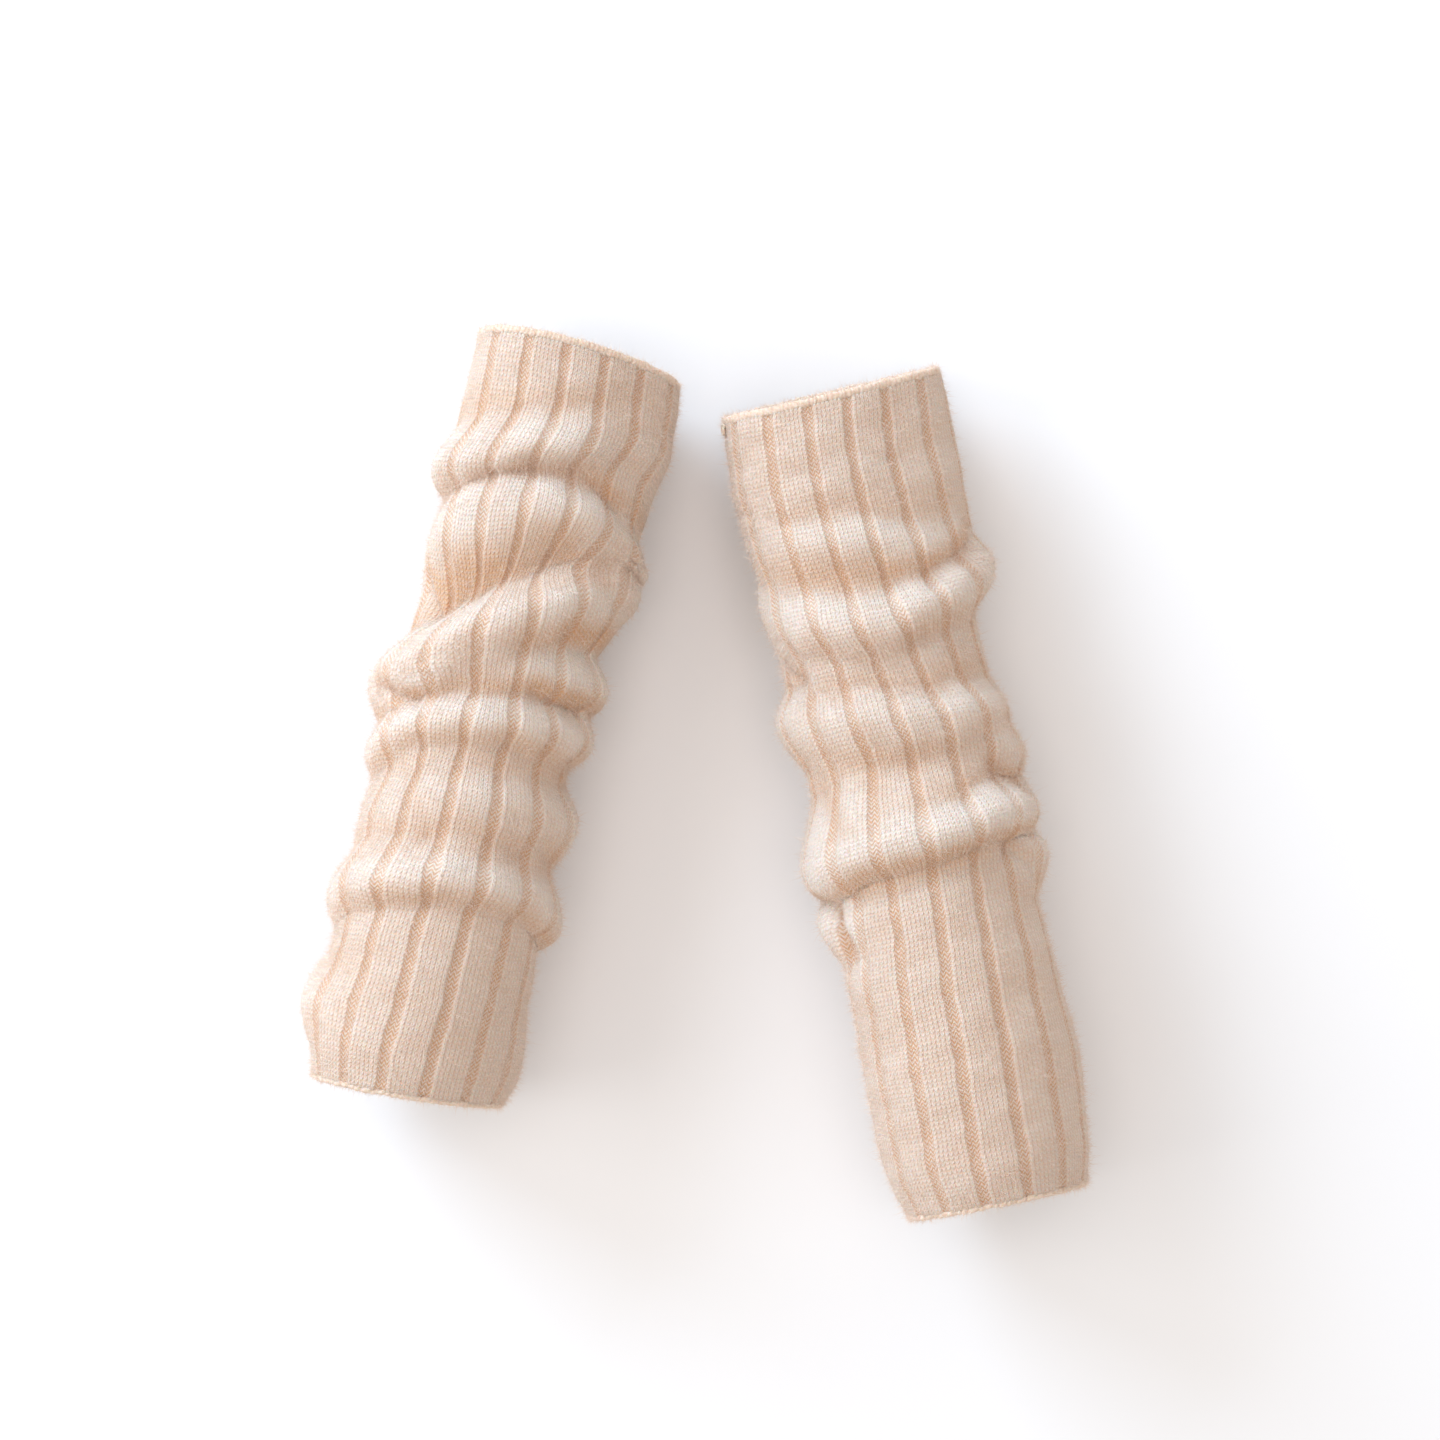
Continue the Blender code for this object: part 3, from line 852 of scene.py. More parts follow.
@dataclass(frozen=True)
class BrushedRibKnit(Finish):
    """Rib knit in brushed cashmere: chains of V loops on the ribs, wavy purl rows between.

    A loop is 2.0 mm wide, its real size.  The real loop is 1.6 mm tall, which is too fine to
    show in the render, so the rows are drawn 2.0 mm tall.
    """

    yarn: CashmereYarn = CashmereYarn()
    knit: RibKnit = RibKnit()
    loop_height: float = 0.70
    fluff_height: float = 0.14
    patches_a_stitch: float = 0.35
    wisps_a_metre: float = 700.0
    row_wander: float = 0.7
    wale_floor: float = 0.25
    wale_swell: float = 0.45
    leg_rise: float = 0.30
    v_slant: float = 1.1
    loop_mean: float = 0.70
    loop_swing: float = 0.28
    purl_bend: float = 0.38
    purl_mean: float = 0.40
    purl_swing: float = 0.22
    # How strongly the stitch height paints shade into the gaps between loops, on the ribs and in the purl
    # channels.
    knit_contrast: float = 0.62
    purl_contrast: float = 1.92
    fluff_contrast: float = 0.24
    # How much deeper the purl channels are painted, as shade.
    channel_shade: float = 0.60
    depth: float = 0.31

    def formula(self) -> tuple[Step, ...]:
        """Height and paleness of the stitches from the counts of wales and courses.

        A knit wale is a low swell with a leg on each side of its middle, each a half sine across half the
        wale, and both are broken into loops by a sine that slants away from the wale's middle.  A purl row is
        a sine along the courses, bent into a wave by a cosine across the wales.  The paleness carries painted
        shade and painted light: the gaps between the loops, the channels and the fold valleys are painted
        deeper, and the stitch tops and the folds' lit shoulders paler; the fluff adds paleness at random.

        Returns:
            The steps, the last of which gives the paleness.
        """
        return (
            Step("repeats", "DIVIDE", "wales", float(self.knit.wales)),
            Step("share", "FRACT", "repeats"),
            Step("channel", "GREATER_THAN", "share", self.knit.knit_wales / self.knit.wales),
            Step("turned", "SUBTRACT", "channel", "inside"),
            Step("purl", "ABSOLUTE", "turned"),
            Step("wander", "MULTIPLY_ADD", "patch", self.row_wander, -0.5 * self.row_wander),
            Step("row", "ADD", "courses", "wander"),
            Step("wale", "FRACT", "wales"),
            Step("from_middle", "SUBTRACT", "wale", 0.5),
            Step("beside", "ABSOLUTE", "from_middle"),
            Step("leg_angle", "MULTIPLY", "beside", TAU),
            Step("leg", "SINE", "leg_angle"),
            Step("wale_angle", "MULTIPLY", "wale", math.pi),
            Step("swell", "SINE", "wale_angle"),
            Step("legs_low", "MULTIPLY_ADD", "leg", self.leg_rise, self.wale_floor),
            Step("column", "MULTIPLY_ADD", "swell", self.wale_swell, "legs_low"),
            Step("slant", "MULTIPLY_ADD", "beside", self.v_slant, "row"),
            Step("slant_angle", "MULTIPLY", "slant", TAU),
            Step("slant_wave", "SINE", "slant_angle"),
            Step("loop", "MULTIPLY_ADD", "slant_wave", self.loop_swing, self.loop_mean),
            Step("knit_height", "MULTIPLY", "column", "loop"),
            Step("ripple_angle", "MULTIPLY", "wales", TAU),
            Step("ripple", "COSINE", "ripple_angle"),
            Step("purl_row", "MULTIPLY_ADD", "ripple", self.purl_bend, "row"),
            Step("purl_angle", "MULTIPLY", "purl_row", TAU),
            Step("purl_wave", "SINE", "purl_angle"),
            Step("purl_height", "MULTIPLY_ADD", "purl_wave", self.purl_swing, self.purl_mean),
            Step("difference", "SUBTRACT", "purl_height", "knit_height"),
            Step("stitch", "MULTIPLY_ADD", "difference", "purl", "knit_height"),
            Step("fluffy", "MULTIPLY", "fluff", self.fluff_height / self.loop_height),
            Step("height", "ADD", "stitch", "fluffy"),
            # The stitches' height paints shade into the gaps between loops, more strongly in the purl
            # channels.
            Step("contrast", "MULTIPLY_ADD", "purl", self.purl_contrast - self.knit_contrast,
                 self.knit_contrast),
            Step("stitch_shade", "MULTIPLY", "stitch", "contrast"),
            # Painted fold light and shade from the crest share, added to the stitches' painted shade.
            Step("fold_and_stitch_shade", "ADD", "crest_share", "stitch_shade"),
            Step("by_fluff", "MULTIPLY_ADD", "fluff", self.fluff_contrast, "fold_and_stitch_shade"),
            # Painted shade: the purl channels are made deeper in tone.
            Step("shaded_channel", "MULTIPLY_ADD", "purl", -self.channel_shade, "by_fluff"),
            Step("paleness", "SUBTRACT", "shaded_channel", self.depth),
        )

    def set_up(self, tree: bpy.types.NodeTree, shader: bpy.types.Node) -> None:
        """Set up the shader as the yarn's, with the stitches' height and a paleness that paints shade and
        light.

        Args:
            tree: the material's nodes.
            shader: its Principled shader.
        """
        self.yarn.set_up(tree, shader)
        counts = add_node(tree, "UVMap", {"uv_map": "stitches"}, {}).outputs["UV"]
        split = add_node(tree, "SeparateXYZ", {}, {"Vector": counts})
        place = add_node(tree, "TexCoord", {}, {}).outputs["Object"]
        patches = {"Vector": counts, "Scale": self.patches_a_stitch, "Detail": 1.0}
        patch = add_node(tree, "TexNoise", {}, patches)
        wisps = {"Vector": place, "Scale": self.wisps_a_metre, "Detail": 3.0, "Roughness": 0.6}
        fluff = add_node(tree, "TexNoise", {}, wisps)
        known = {
            "wales": split.outputs["X"],
            "courses": split.outputs["Y"],
            "patch": patch.outputs["Fac"],
            "fluff": fluff.outputs["Fac"],
            # The crest share on the tube paints fold light: paler on crests, and painted shade in the
            # valleys.
            "crest_share": add_node(tree, "Attribute", {"attribute_name": "crest_share"}, {}).outputs["Fac"],
            "inside": add_node(tree, "Attribute", {"attribute_name": "inside"}, {}).outputs["Fac"],
        }
        found = work_out(tree, known, self.formula())
        # A mix of colours has its share in socket 0, its two colours in 6 and 7 and its result in 2.
        # The paleness mixes the deep tone and the pile, and so paints the shade and light worked out above.
        ends = {0: found["paleness"], 6: linear(self.yarn.deep_tone), 7: linear(self.yarn.pile)}
        colour = add_node(tree, "Mix", {"data_type": "RGBA"}, ends).outputs[2]
        relief = {"Height": found["height"], "Strength": 1.0, "Distance": self.loop_height * MM}
        bump = add_node(tree, "Bump", {}, relief)
        set_sockets(shader, {"Base Color": colour, "Normal": bump.outputs["Normal"]})


@dataclass(frozen=True)
class PlainYarn(Finish):
    """The same cashmere as single strands: the edgings, the seam and the yarn's end."""

    yarn: CashmereYarn = CashmereYarn()
    shade: str = "#D3B69C"
    tips: str = "#EADACB"
    tone_range: tuple[float, float] = (0.25, 0.75)
    fluff_height: float = 0.12
    wisps_a_metre: float = 900.0

    def set_up(self, tree: bpy.types.NodeTree, shader: bpy.types.Node) -> None:
        """Set up the shader as the yarn's, with a fine fluff that is dark in its hollows.

        Args:
            tree: the material's nodes.
            shader: its Principled shader.
        """
        self.yarn.set_up(tree, shader)
        place = add_node(tree, "TexCoord", {}, {}).outputs["Object"]
        wisps = {"Vector": place, "Scale": self.wisps_a_metre, "Detail": 3.0}
        fluff = add_node(tree, "TexNoise", {}, wisps)
        ramp = add_node(tree, "ValToRGB", {}, {"Fac": fluff.outputs["Fac"]})
        for stop, spot, tone in zip(ramp.color_ramp.elements, self.tone_range, (self.shade, self.tips)):
            stop.position = spot
            stop.color = linear(tone)
        relief = {"Height": fluff.outputs["Fac"], "Strength": 1.0, "Distance": self.fluff_height * MM}
        bump = add_node(tree, "Bump", {}, relief)
        set_sockets(shader, {"Base Color": ramp.outputs["Color"], "Normal": bump.outputs["Normal"]})


@dataclass(frozen=True)
class LooseFibre(CashmereYarn):
    """Single brushed fibres: the yarn in one pale colour, too fine to glow."""

    pile: str = "#EAD6C6"
    sheen: float = 0.3
    glow: float = 0.0


@dataclass(frozen=True)
class BackdropPaper(Finish):
    """Matte white background paper under the arms."""

    colour: str = "#F6F5F4"
    roughness: float = 0.95
    gloss: float = 0.1

    def set_up(self, tree: bpy.types.NodeTree, shader: bpy.types.Node) -> None:
        """Set up the shader: matte, with hardly any gloss.

        Args:
            tree: the material's nodes; not used.
            shader: its Principled shader.
        """
        set_sockets(shader, {"Base Color": linear(self.colour), "Roughness": self.roughness,
                             "Specular IOR Level": self.gloss})


@dataclass(frozen=True)
class Finishes:
    """The materials of the whole pair, made once and shared."""

    rib: bpy.types.Material
    strand: bpy.types.Material
    fibre: bpy.types.Material


# --------------------------------------------------------------------------------------------
# Pieces of a warmer.
# --------------------------------------------------------------------------------------------


class BakeSheet(NamedTuple):
    """How a bake's square is shared out, as parts of its height: outside, ends, inside."""

    margin: float = 0.01
    outside: float = 0.81
    ends: float = 0.83
    inside_from: float = 0.86
    inside: float = 0.13


@dataclass
class RibTube:
    """The knitted tube: every wale of its outside, and a plainer inside."""

    form: WornForm
    rows: int = 285
    inner_rows: int = 60
    row_gap: float = 1.4
    # The inside gets a crest share a little under the flat 0.5, which paints it a little deeper as shade.
    inner_shade_share: float = 0.45
    crest_reach: float = 11.0
    crest_scale: float = 5.0
    # Share of the rib's height that goes into the crest share, which paints the channels deeper as shade.
    channel_shade_share: float = 0.8
    # How far the crest share is moved towards the hand, the lit side, so that the painted highlight lies on
    # each fold's lit shoulder; the channels' gape moves with it.
    brushed: float = 5.0
    gape: float = 0.050
    gape_drift: float = 0.022
    sheet: BakeSheet = BakeSheet()

    def surface(self) -> tuple[Array, Array, Array]:
        """Outside points in the arm's millimetres, courses at each, and the height of each.

        The outside is the inside moved out by the wall and by the rib's own height, with the
        channels opened over the crests and closed in the valleys.  Courses are counted along
        each column by its share of the column's length.

        Returns:
            Points and heights by row and column, and courses likewise.
        """
        turns, heights, _ = self.form.knit.columns()
        marks = self.form.even_marks(self.rows)
        stretched = self.crest_share(self.form.inside(marks, turns)[2]) - 0.5
        drift = self.gape_drift * self.form.uneven(3.0 * marks, 2.0 * turns)
        inside, out, rise = self.form.cloth(marks, self.form.knit.gaped(turns, self.gape * stretched + drift))
        points = inside + out * (self.form.knit.wall + heights)[None, :, None]
        steps = np.linalg.norm(np.diff(points, axis=0), axis=-1)
        run = np.concatenate([np.zeros((1, len(turns))), np.cumsum(steps, axis=0)])
        courses = round(float(run[-1].mean()) / self.form.knit.course)
        # The height returned holds part of the rib's height, so that the channels are painted deeper as
        # shade.
        return points, run / run[-1:] * courses, rise + self.channel_shade_share * heights[None, :]

    def crest_share(self, height: Array) -> Array:
        """How high the cloth stands over its surroundings, as a share that opens the channels and paints fold
        highlights and fold shade.

        The surroundings are the mean over a window along the tube and one repeat round it.
        The share is moved a little towards the hand, which is the lit side, so that its painted highlight
        lies on each fold's lit shoulder.

        Args:
            height: height of the cloth by row and column.

        Returns:
            0 in a deep valley to 1 on a high crest.
        """
        reach = round(self.crest_reach / self.row_gap)
        repeat = len(self.form.knit.repeat()[0])
        padded = np.pad(height, ((reach, reach), (0, 0)), mode="edge")
        sums = np.cumsum(np.pad(padded, ((1, 0), (0, 0))), axis=0)
        along = (sums[2 * reach + 1 :] - sums[: -2 * reach - 1]) / (2 * reach + 1)
        wrapped = np.pad(along, ((0, 0), (repeat // 2, repeat - repeat // 2 - 1)), mode="wrap")
        sums = np.cumsum(np.pad(wrapped, ((0, 0), (1, 0))), axis=1)
        mean = (sums[:, repeat:] - sums[:, :-repeat]) / repeat
        proud = height - mean
        # Painted highlight: the share is moved towards the hand, the lit side.
        brushed = round(self.brushed / self.row_gap)
        proud = np.concatenate([proud[brushed:], np.repeat(proud[-1:], brushed, axis=0)])
        return np.clip(0.5 + proud / self.crest_scale, 0.0, 1.0)

    def build(self, outside: Array, courses: Array, height: Array) -> bpy.types.Object:
        """Make the tube's mesh, with its stitch counts, its bake map and its notes.

        Args:
            outside: outside points by row and column.
            courses: courses counted from the hand end, likewise.
            height: height of the cloth, likewise.

        Returns:
            The piece.
        """
        turns, _, wales = self.form.knit.columns()
        columns = len(turns)
        marks = self.form.even_marks(self.inner_rows)
        inner = self.form.inside(marks, turns)[0]
        start = self.rows * columns
        outer_faces = wrapped_quads(self.rows, columns)
        inner_faces = wrapped_quads(self.inner_rows, columns, start)[:, ::-1]
        ring = np.arange(columns)
        hand_end = band_quads(start + ring, ring)
        elbow_end = band_quads(start - columns + ring, start + (self.inner_rows - 1) * columns + ring)
        faces = np.concatenate([outer_faces, inner_faces, hand_end, elbow_end])
        points = np.concatenate([outside.reshape(-1, 3), inner.reshape(-1, 3)])
        piece = make_piece(self.form.side.value + "_rib_tube", self.form.place(points), faces)
        inner_courses = np.linspace(0.0, courses[-1, 0], self.inner_rows)[:, None] + np.zeros(columns)
        count = np.concatenate([courses.reshape(-1), inner_courses.reshape(-1)])
        spot = np.concatenate([np.tile(wales, self.rows), np.tile(wales, self.inner_rows)])
        self.lay_maps(piece, faces, spot, count, start)
        # The crest share is written for the material, which paints fold light with it: paler on crests, and
        # painted shade in the valleys, the channels and the inside.
        inner_shade_share = np.full(inner_courses.size, self.inner_shade_share)
        note(piece, "crest_share", np.concatenate([self.crest_share(height).reshape(-1), inner_shade_share]))
        note(piece, "inside", np.concatenate([np.zeros(start), np.ones(inner_courses.size)]))
        return piece

    def lay_maps(
        self, piece: bpy.types.Object, faces: Whole, wales: Array, courses: Array, start: int
    ) -> None:
        """Lay the map of stitches and the map that a bake uses.

        A quad that closes the loop gets a whole turn of wales more at its far corners, so
        that its wales run on.

        Args:
            piece: the tube.
            faces: its quads.
            wales: wales at each point.
            courses: courses at each point.
            start: the first inner point's number.
        """
        total = self.form.knit.ribs * self.form.knit.wales
        corner_wales = wales[faces]
        spread = corner_wales.max(axis=1, keepdims=True) - corner_wales
        corner_wales = corner_wales + np.where(spread > 0.5 * total, total, 0.0)
        corner_courses = courses[faces]
        lay_map(piece, "stitches", np.stack([corner_wales, corner_courses], axis=-1))
        round_it = (corner_wales - wales.min() + 0.5) / (total + 1.0)
        along_it = corner_courses / courses.max()
        is_inner = (faces >= start).all(axis=1, keepdims=True)
        is_end = ((faces >= start).any(axis=1, keepdims=True)) & ~is_inner
        sheet, margin = self.sheet, self.sheet.margin
        outside, inside = margin + sheet.outside * round_it, sheet.inside_from + sheet.inside * round_it
        ends = sheet.ends + margin * (faces >= start) + margin * (along_it > 0.5)
        tier = np.where(is_end, ends, np.where(is_inner, inside, outside))
        length = np.where(is_end, round_it, margin + (1.0 - 2.0 * margin) * along_it)
        lay_map(piece, "OFBake", np.stack([length, tier], axis=-1))


class LoopStyle(NamedTuple):
    """How an edging is made: its size across, and how its loops rise, lean and are spaced."""

    depth: float
    thickness: float
    loop_rise: float
    lean: float
    loops_a_wale: float


LINKED = LoopStyle(depth=4.0, thickness=3.9, loop_rise=0.24, lean=1.5, loops_a_wale=1.0)
BOUND_OFF = LoopStyle(depth=2.8, thickness=4.2, loop_rise=0.30, lean=1.0, loops_a_wale=0.5)


@dataclass
class LoopedEdge:
    """An edging of looped yarn: a closed roll of strands that lean over one another."""

    form: WornForm
    name: str
    rim: Rim
    way: Way
    style: LoopStyle
    steps_a_wale: int = 6
    sides: int = 16
    gap: float = -0.7
    squareness: float = 0.75
    slow_drift: float = 0.22
    quick_drift: float = 0.12
    rise_drift: float = 0.25
    depth_drift: float = 0.10

    def surface(self) -> Array:
        """Points of the roll, where it meets the tube's end, by place round the rim.

        Its section is an oval between a circle and an oblong.  Its radius swells once for
        each loop, and the swelling leans round the section, as a rope's strands do.  Slow
        sines of unlike lengths make the loops uneven in height, width and lie.

        Returns:
            The points, in an order that faces outward.
        """
        knit = self.form.knit
        wales = knit.ribs * knit.wales
        count = wales * self.steps_a_wale
        places = np.arange(count) / count
        section = np.arange(self.sides) / self.sides * TAU
        inside, out, _ = (v[0] for v in self.form.cloth(np.array([self.rim.station]), places))
        middle = inside + out * 0.5 * (knit.wall + knit.relief)
        across = unit(out * np.array([1.0, 0.0, 1.0]))
        slow = np.sin(TAU * places * 11.0 + 0.4) + np.sin(TAU * places * 17.0 + 2.0)
        quick = np.sin(TAU * places * 37.0) + np.sin(TAU * places * 61.0 + 1.0)
        drift = self.slow_drift * slow + self.quick_drift * quick
        loops = (places * wales * self.style.loops_a_wale + drift)[:, None]
        loops = loops + self.style.lean * section[None, :] / TAU
        rise = self.style.loop_rise * (1.0 + self.rise_drift * quick[:, None])
        swell = 1.0 - rise * (1.0 - np.abs(np.sin(math.pi * loops)))
        flat = np.sign(np.cos(section)) * np.abs(np.cos(section)) ** self.squareness
        tall = np.sign(np.sin(section)) * np.abs(np.sin(section)) ** self.squareness
        side = 0.5 * self.style.thickness * flat * swell
        outer_drift = self.depth_drift * (slow + quick)[:, None] * (tall > 0)
        ahead = self.gap + 0.5 * self.style.depth * (1.0 + tall * swell) + outer_drift
        along = np.array([0.0, self.way.value, 0.0])
        points = middle[:, None] + across[:, None] * side[..., None] + along * ahead[..., None]
        return points if self.way is Way.HAND else points[:, ::-1]

    def build(self, points: Array) -> bpy.types.Object:
        """Make the roll's mesh from its points.

        Args:
            points: the roll's points by place round the rim.

        Returns:
            The piece.
        """
        count, sides = points.shape[:2]
        faces = wrapped_quads(count + 1, sides) % (count * sides)
        return make_piece(f"{self.form.side.value}_{self.name}", self.form.place(points), faces)


@dataclass
class YarnRun:
    """A round strand along a path, drawn to a point at each end.

    The section's first spoke is square to the path and to a direction that no path takes.
    """

    name: str
    radius: float
    sides: int = 6
    tip_share: float = 0.05
    askew: tuple[float, float, float] = (0.31, 0.17, 0.94)

    def build(self, path: Array) -> bpy.types.Object:
        """Make the strand: a circle carried along the path, drawn to a point at each end.

        Args:
            path: points in the frame's metres.

        Returns:
            The piece.
        """
        ahead = unit(np.gradient(path, axis=0))
        side = unit(np.cross(ahead, np.array(self.askew)))
        rise = np.cross(side, ahead)
        section = np.arange(self.sides) / self.sides * TAU
        girth = np.full(len(path), self.radius * MM)
        girth[[0, -1]] *= self.tip_share
        ring = side[:, None] * np.cos(section)[:, None] + rise[:, None] * np.sin(section)[:, None]
        points = path[:, None] + ring * girth[:, None, None]
        faces = wrapped_quads(len(path), self.sides)
        return make_piece(self.name, points, faces)


@dataclass
class SideSeam:
    """The overcast seam that closes the tube: one strand that steps over a channel's floor."""

    form: WornForm
    turn: float
    stitch: float = 3.2
    reach: float = 0.005
    radius: float = 0.24
    steps_a_stitch: int = 8
    slack: float = 1.2
    bluntness: float = 0.3
    lift: float = 0.10
    arch: float = 0.2

    def build(self) -> bpy.types.Object:
        """Make the strand: it swings from side to side of the channel along a rounded zigzag.

        The zigzag is a sine, blunted by its own square, and it arches over the channel's
        floor.  The cloth is longer than the tube by its slack, and so are the stitches.

        Returns:
            The piece.
        """
        stitches = round((self.form.elbow.station - self.form.wrist.station) / self.stitch * self.slack)
        count = stitches * self.steps_a_stitch
        within = slice(2, -2)
        marks = self.form.even_marks(count)[within]
        swing = np.sin(TAU * np.arange(count)[within] / self.steps_a_stitch)
        turns = self.turn + self.reach * 0.5 * swing / (1.0 + self.bluntness * swing**2)
        inside, out, _ = self.form.inside(marks, turns[:, None])
        lift = self.form.knit.wall + self.lift + self.arch * np.abs(swing)
        path = inside[:, 0] + out[:, 0] * lift[:, None]
        return YarnRun(self.form.side.value + "_seam_yarn", self.radius).build(self.form.place(path))


@dataclass
class YarnTail:
    """The end of the yarn, darned into the wrist edge and left as a small curl."""

    form: WornForm
    station: float
    turn: float
    radius: float = 0.55
    curl: float = 2.1
    coils: float = 1.45
    start: float = 0.45
    widening: float = 0.75
    lift: float = 0.4
    arch: float = 0.8
    points: int = 44

    def build(self) -> bpy.types.Object:
        """Make the curl: nearly a coil and a half that widens, arched a little off the cloth.

        Returns:
            The piece.
        """
        inside, out, _ = (v[0, 0] for v in self.form.cloth(np.array([self.station]), np.array([self.turn])))
        share = np.linspace(0.0, 1.0, self.points)
        angle = TAU * self.coils * share
        reach = self.curl * (self.start + self.widening * share)
        round_it = unit(np.cross(out, np.array([0.0, 1.0, 0.0])))
        along_it = np.cross(round_it, out)
        lift = self.form.knit.wall + self.form.knit.relief + self.lift + self.arch * np.sin(math.pi * share)
        path = (inside + out * lift[:, None] + round_it * (reach * np.cos(angle))[:, None]
                + along_it * (reach * np.sin(angle))[:, None])
        return YarnRun(self.form.side.value + "_yarn_tail", self.radius).build(self.form.place(path))


class Brushing(NamedTuple):
    """One kind of brushed fibre: how many, how long and thick they are, and how they lie."""

    count: int
    shortest: float
    mean_length: float
    longest: float
    thickness: float
    looseness: float
    joints: int


DOWN = Brushing(150000, 0.6, 1.7, 4.2, thickness=0.15, looseness=0.65, joints=1)
EDGE_DOWN = Brushing(7000, 0.6, 1.7, 3.6, thickness=0.15, looseness=0.65, joints=1)
GUARD_FIBRES = Brushing(20000, 1.6, 3.3, 6.0, thickness=0.15, looseness=0.6, joints=2)


@dataclass
class FibreHalo:
    """Brushed fibres that stand out of the cloth, each a bent ribbon drawn to a fine tip.

    A real fibre is 0.016 mm thick.  It is too fine to show in the render, so it is drawn nine
    times as thick, and there are fewer of them.
    """

    form: WornForm
    name: str
    seed: int
    brushing: Brushing
    evenness: float = 2.2

    def roots(self, outside: Array, chance: np.random.Generator) -> tuple[Array, Array]:
        """Spread the fibres' roots over the cloth.

        Args:
            outside: outside points of the tube by row and column.
            chance: the source of chance.

        Returns:
            The roots and the way out of the cloth at each.
        """
        rows, columns = outside.shape[:2]
        # The last row is kept out, because a root lies between its row and the next.
        row = chance.uniform(0.0, rows - 1.001, self.brushing.count)
        column = chance.uniform(0.0, columns, self.brushing.count)
        low, beside = row.astype(int), column.astype(int) % columns
        over, past = (row - low)[:, None], (column % 1.0)[:, None]
        here, there = outside[low, beside], outside[low, (beside + 1) % columns]
        below, across = outside[low + 1, beside], outside[low + 1, (beside + 1) % columns]
        root = (here * (1 - past) + there * past) * (1 - over) + (below * (1 - past) + across * past) * over
        return root, unit(np.cross(below - here, there - here))

    def build(self, outside: Array) -> bpy.types.Object:
        """Make the fibres: tips are flung out loosely, and each fibre bends over on its way.

        A fibre leaves its root straight and bends by the square of its share of the way.  The
        lengths follow a gamma curve, cut off at the shortest and the longest.

        Args:
            outside: outside points of the tube by row and column.

        Returns:
            The piece.
        """
        chance = np.random.default_rng(self.seed)
        root, out = self.roots(outside, chance)
        kind = self.brushing
        heading = unit(out + kind.looseness * chance.normal(size=(kind.count, 3)))
        bend = 0.5 * kind.looseness * chance.normal(size=(kind.count, 3))
        length = chance.gamma(self.evenness, kind.mean_length / self.evenness, kind.count)
        length = np.clip(length, kind.shortest, kind.longest)[:, None]
        side = unit(np.cross(heading, chance.normal(size=(kind.count, 3)))) * 0.5 * kind.thickness
        rungs = []
        for share in np.arange(kind.joints) / kind.joints:
            place = root + heading * share * length + bend * share**2 * length
            rungs += [place - (1.0 - share) * side, place + (1.0 - share) * side]
        points = np.stack([*rungs, root + (heading + bend) * length], axis=1)
        first = np.arange(kind.count)[:, None] * points.shape[1]
        corners = [(0, 1, 3), (0, 3, 2)] * (kind.joints - 1) + [(0, 1, 2)]
        faces = np.concatenate([first + np.array(face) + 2 * (at // 2) for at, face in enumerate(corners)])
        return make_piece(f"{self.form.side.value}_{self.name}", self.form.place(points), faces)


@dataclass
class ArmWarmer:
    """One whole warmer: its tube, edgings, seam, fibres and, on one side, its yarn's end."""

    form: WornForm
    seam_turn: float
    cut_width: float
    cut_length: float
    seed: int
    tail_at: tuple[float, float] | None = None

    def node(self, part: str) -> str:
        """The name of one of the frame's nodes on this side."""
        return f"{self.form.side.value}_{part}"

    def build(self, finishes: Finishes) -> list[bpy.types.Object]:
        """Build and dress every piece, and tie it to the frame.

        Args:
            finishes: the pair's materials.

        Returns:
            The pieces.
        """
        tube = RibTube(self.form)
        outside, courses, height = tube.surface()
        cloth = tube.build(outside, courses, height)
        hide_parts(self.node("tube"))
        linked = LoopedEdge(self.form, "linked_wrist_edge", self.form.wrist, Way.HAND, LINKED)
        wrist_points = linked.surface()
        wrist = linked.build(wrist_points)
        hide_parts(self.node("wrist_edge"))
        bound = LoopedEdge(self.form, "bound_off_edge", self.form.elbow, Way.ELBOW, BOUND_OFF)
        elbow_points = bound.surface()
        elbow = bound.build(elbow_points)
        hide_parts(self.node("elbow_edge"))
        seam = SideSeam(self.form, self.seam_turn).build()
        down = FibreHalo(self.form, "down", self.seed, DOWN).build(outside)
        edge_down = [
            FibreHalo(self.form, name, self.seed + 2, EDGE_DOWN).build(points)
            for name, points in (("wrist_down", wrist_points), ("elbow_down", elbow_points))
        ]
        guard = FibreHalo(self.form, "guard_fibres", self.seed + 1, GUARD_FIBRES).build(outside)
        loose = [down, guard, *edge_down]
        extras = [seam, *loose]
        if self.tail_at is not None:
            extras.append(YarnTail(self.form, *self.tail_at).build())
        self.dress(cloth, finishes.rib)
        self.dress(wrist, finishes.strand)
        self.dress(elbow, finishes.strand)
        for extra in extras:
            self.dress(extra, finishes.fibre if extra in loose else finishes.strand)
        return [cloth, wrist, elbow, *extras]

    def dress(self, piece: bpy.types.Object, material: bpy.types.Material) -> None:
        """Give a piece its material and its slot, and let it ride on the pair's one body.

        Args:
            piece: the piece.
            material: its finish.
        """
        piece.data.materials.append(material)
        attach(piece, "root")
        LOG.info("%s: %d faces", piece.name, len(piece.data.polygons))


# --------------------------------------------------------------------------------------------
# The studio.
# --------------------------------------------------------------------------------------------


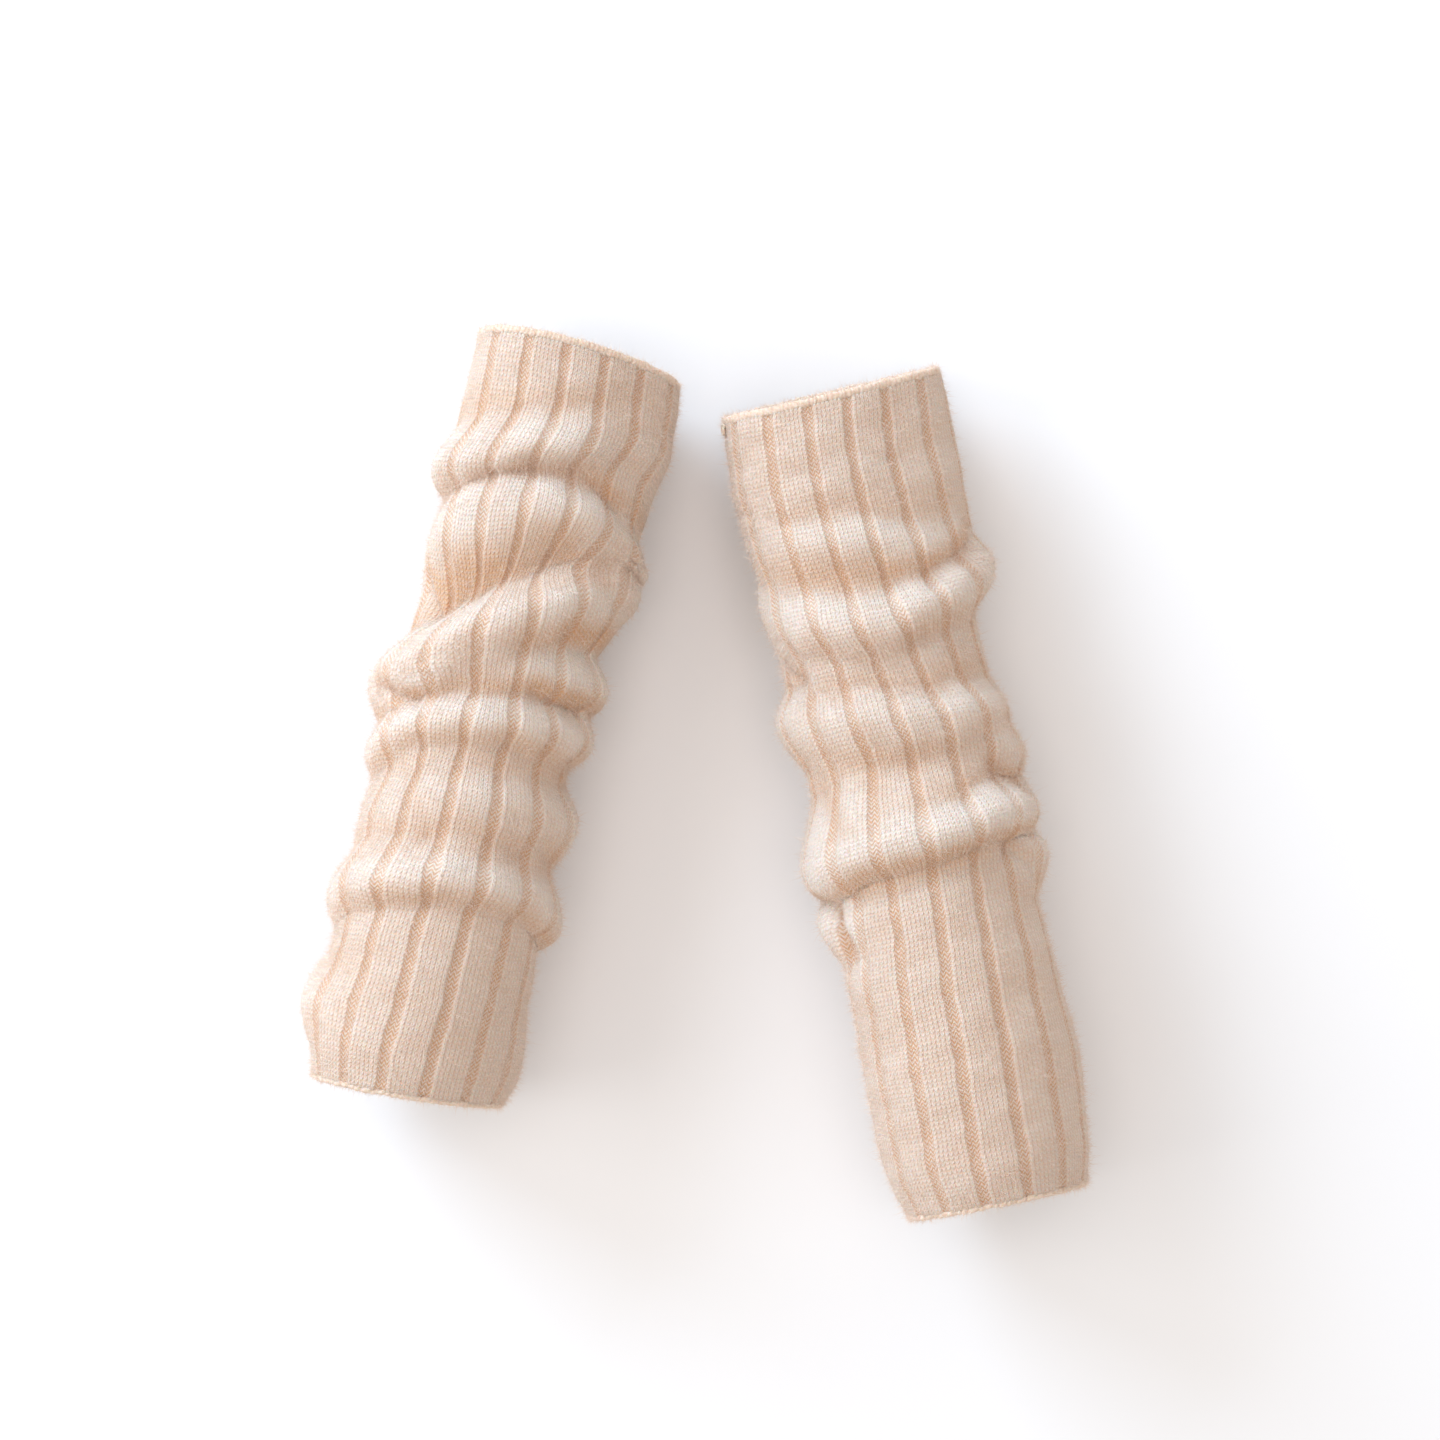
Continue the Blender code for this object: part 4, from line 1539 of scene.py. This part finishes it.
@dataclass(frozen=True)
class SoftLight:
    """A square soft light: where it hangs, where it points, its side and its power."""

    name: str
    place: tuple[float, float, float]
    aim: tuple[float, float, float]
    side: float
    watts: float
    colour: str = "#FFFFFF"

    def hang(self) -> None:
        """Hang the light."""
        lamp = bpy.data.lights.new(self.name, "AREA")
        lamp.shape = "SQUARE"
        lamp.size = self.side
        lamp.energy = self.watts
        lamp.color = linear(self.colour)[:3]
        holder = bpy.data.objects.new(self.name, lamp)
        holder.location = self.place
        toward = Vector(self.aim) - Vector(self.place)
        holder.rotation_euler = toward.to_track_quat("-Z", "Y").to_euler()
        bpy.context.scene.collection.objects.link(holder)


@dataclass(frozen=True)
class Studio:
    """A white paper floor under soft daylight, seen from straight above."""

    floor_drop: float = 0.0445
    floor_half: float = 3.0
    middle: tuple[float, float] = (0.0962, -0.0002)
    camera_height: float = 1.5
    view_width: float = 0.6192
    sensor: float = 36.0
    air_colour: str = "#FAFAFA"
    air_strength: float = 0.68

    def lights(self) -> tuple[SoftLight, ...]:
        """A low window beyond the hands on the left, a weaker one beside, and a pale ceiling.

        Returns:
            The lights.
        """
        aim = (self.middle[0], self.middle[1], 0.0)
        return (
            SoftLight("low window", (-1.90, 2.00, 1.05), aim, 1.8, 99.0, "#CFE7FF"),
            SoftLight("side window", (-2.36, 0.0, 1.72), aim, 1.8, 21.0, "#FFFFFF"),
            SoftLight("ceiling", (0.10, 0.0, 3.0), aim, 2.4, 24.0, "#FFEFEA"),
        )

    def build(self) -> None:
        """Lay the floor, light it and set the camera."""
        half = self.floor_half
        corners = np.array([[-half, -half], [half, -half], [half, half], [-half, half]])
        points = np.concatenate([corners, np.full((4, 1), -self.floor_drop)], axis=1)
        floor = make_piece("paper_floor", points, np.array([[0, 1, 2, 3]]))
        floor.data.materials.append(BackdropPaper().make("matte white background paper"))
        for light in self.lights():
            light.hang()
        world = bpy.data.worlds.new("daylight")
        world.use_nodes = True
        air = world.node_tree.nodes["Background"]
        air.inputs["Color"].default_value = linear(self.air_colour)
        air.inputs["Strength"].default_value = self.air_strength
        bpy.context.scene.world = world
        bpy.context.scene.view_settings.view_transform = "Standard"
        self.set_camera()

    def set_camera(self) -> None:
        """Look straight down, with the hands' side at the top of the picture."""
        camera = bpy.data.cameras.new("overhead")
        camera.sensor_width = self.sensor
        camera.lens = self.sensor * self.camera_height / self.view_width
        holder = bpy.data.objects.new("overhead", camera)
        holder.location = (*self.middle, self.camera_height)
        bpy.context.scene.collection.objects.link(holder)
        bpy.context.scene.camera = holder


def main() -> None:
    """Load the frame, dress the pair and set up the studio."""
    logging.basicConfig(level=logging.INFO, format="%(message)s")
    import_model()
    finishes = Finishes(
        rib=BrushedRibKnit().make("brushed cashmere rib knit"),
        strand=PlainYarn().make("woollen-spun cashmere yarn"),
        fibre=LooseFibre().make("loose cashmere fibre"),
    )
    channel = 1.0 / RibKnit().ribs
    warmers = (
        ArmWarmer(LEFT_FORM, seam_turn=2.5 * channel, cut_width=0.27, cut_length=0.40, seed=11),
        ArmWarmer(RIGHT_FORM, seam_turn=11.5 * channel, cut_width=0.27, cut_length=0.42, seed=23,
                  tail_at=(7.0, 11.0 * channel)),
    )
    for warmer in warmers:
        warmer.build(finishes)
    Studio().build()


if __name__ == "__main__":
    main()
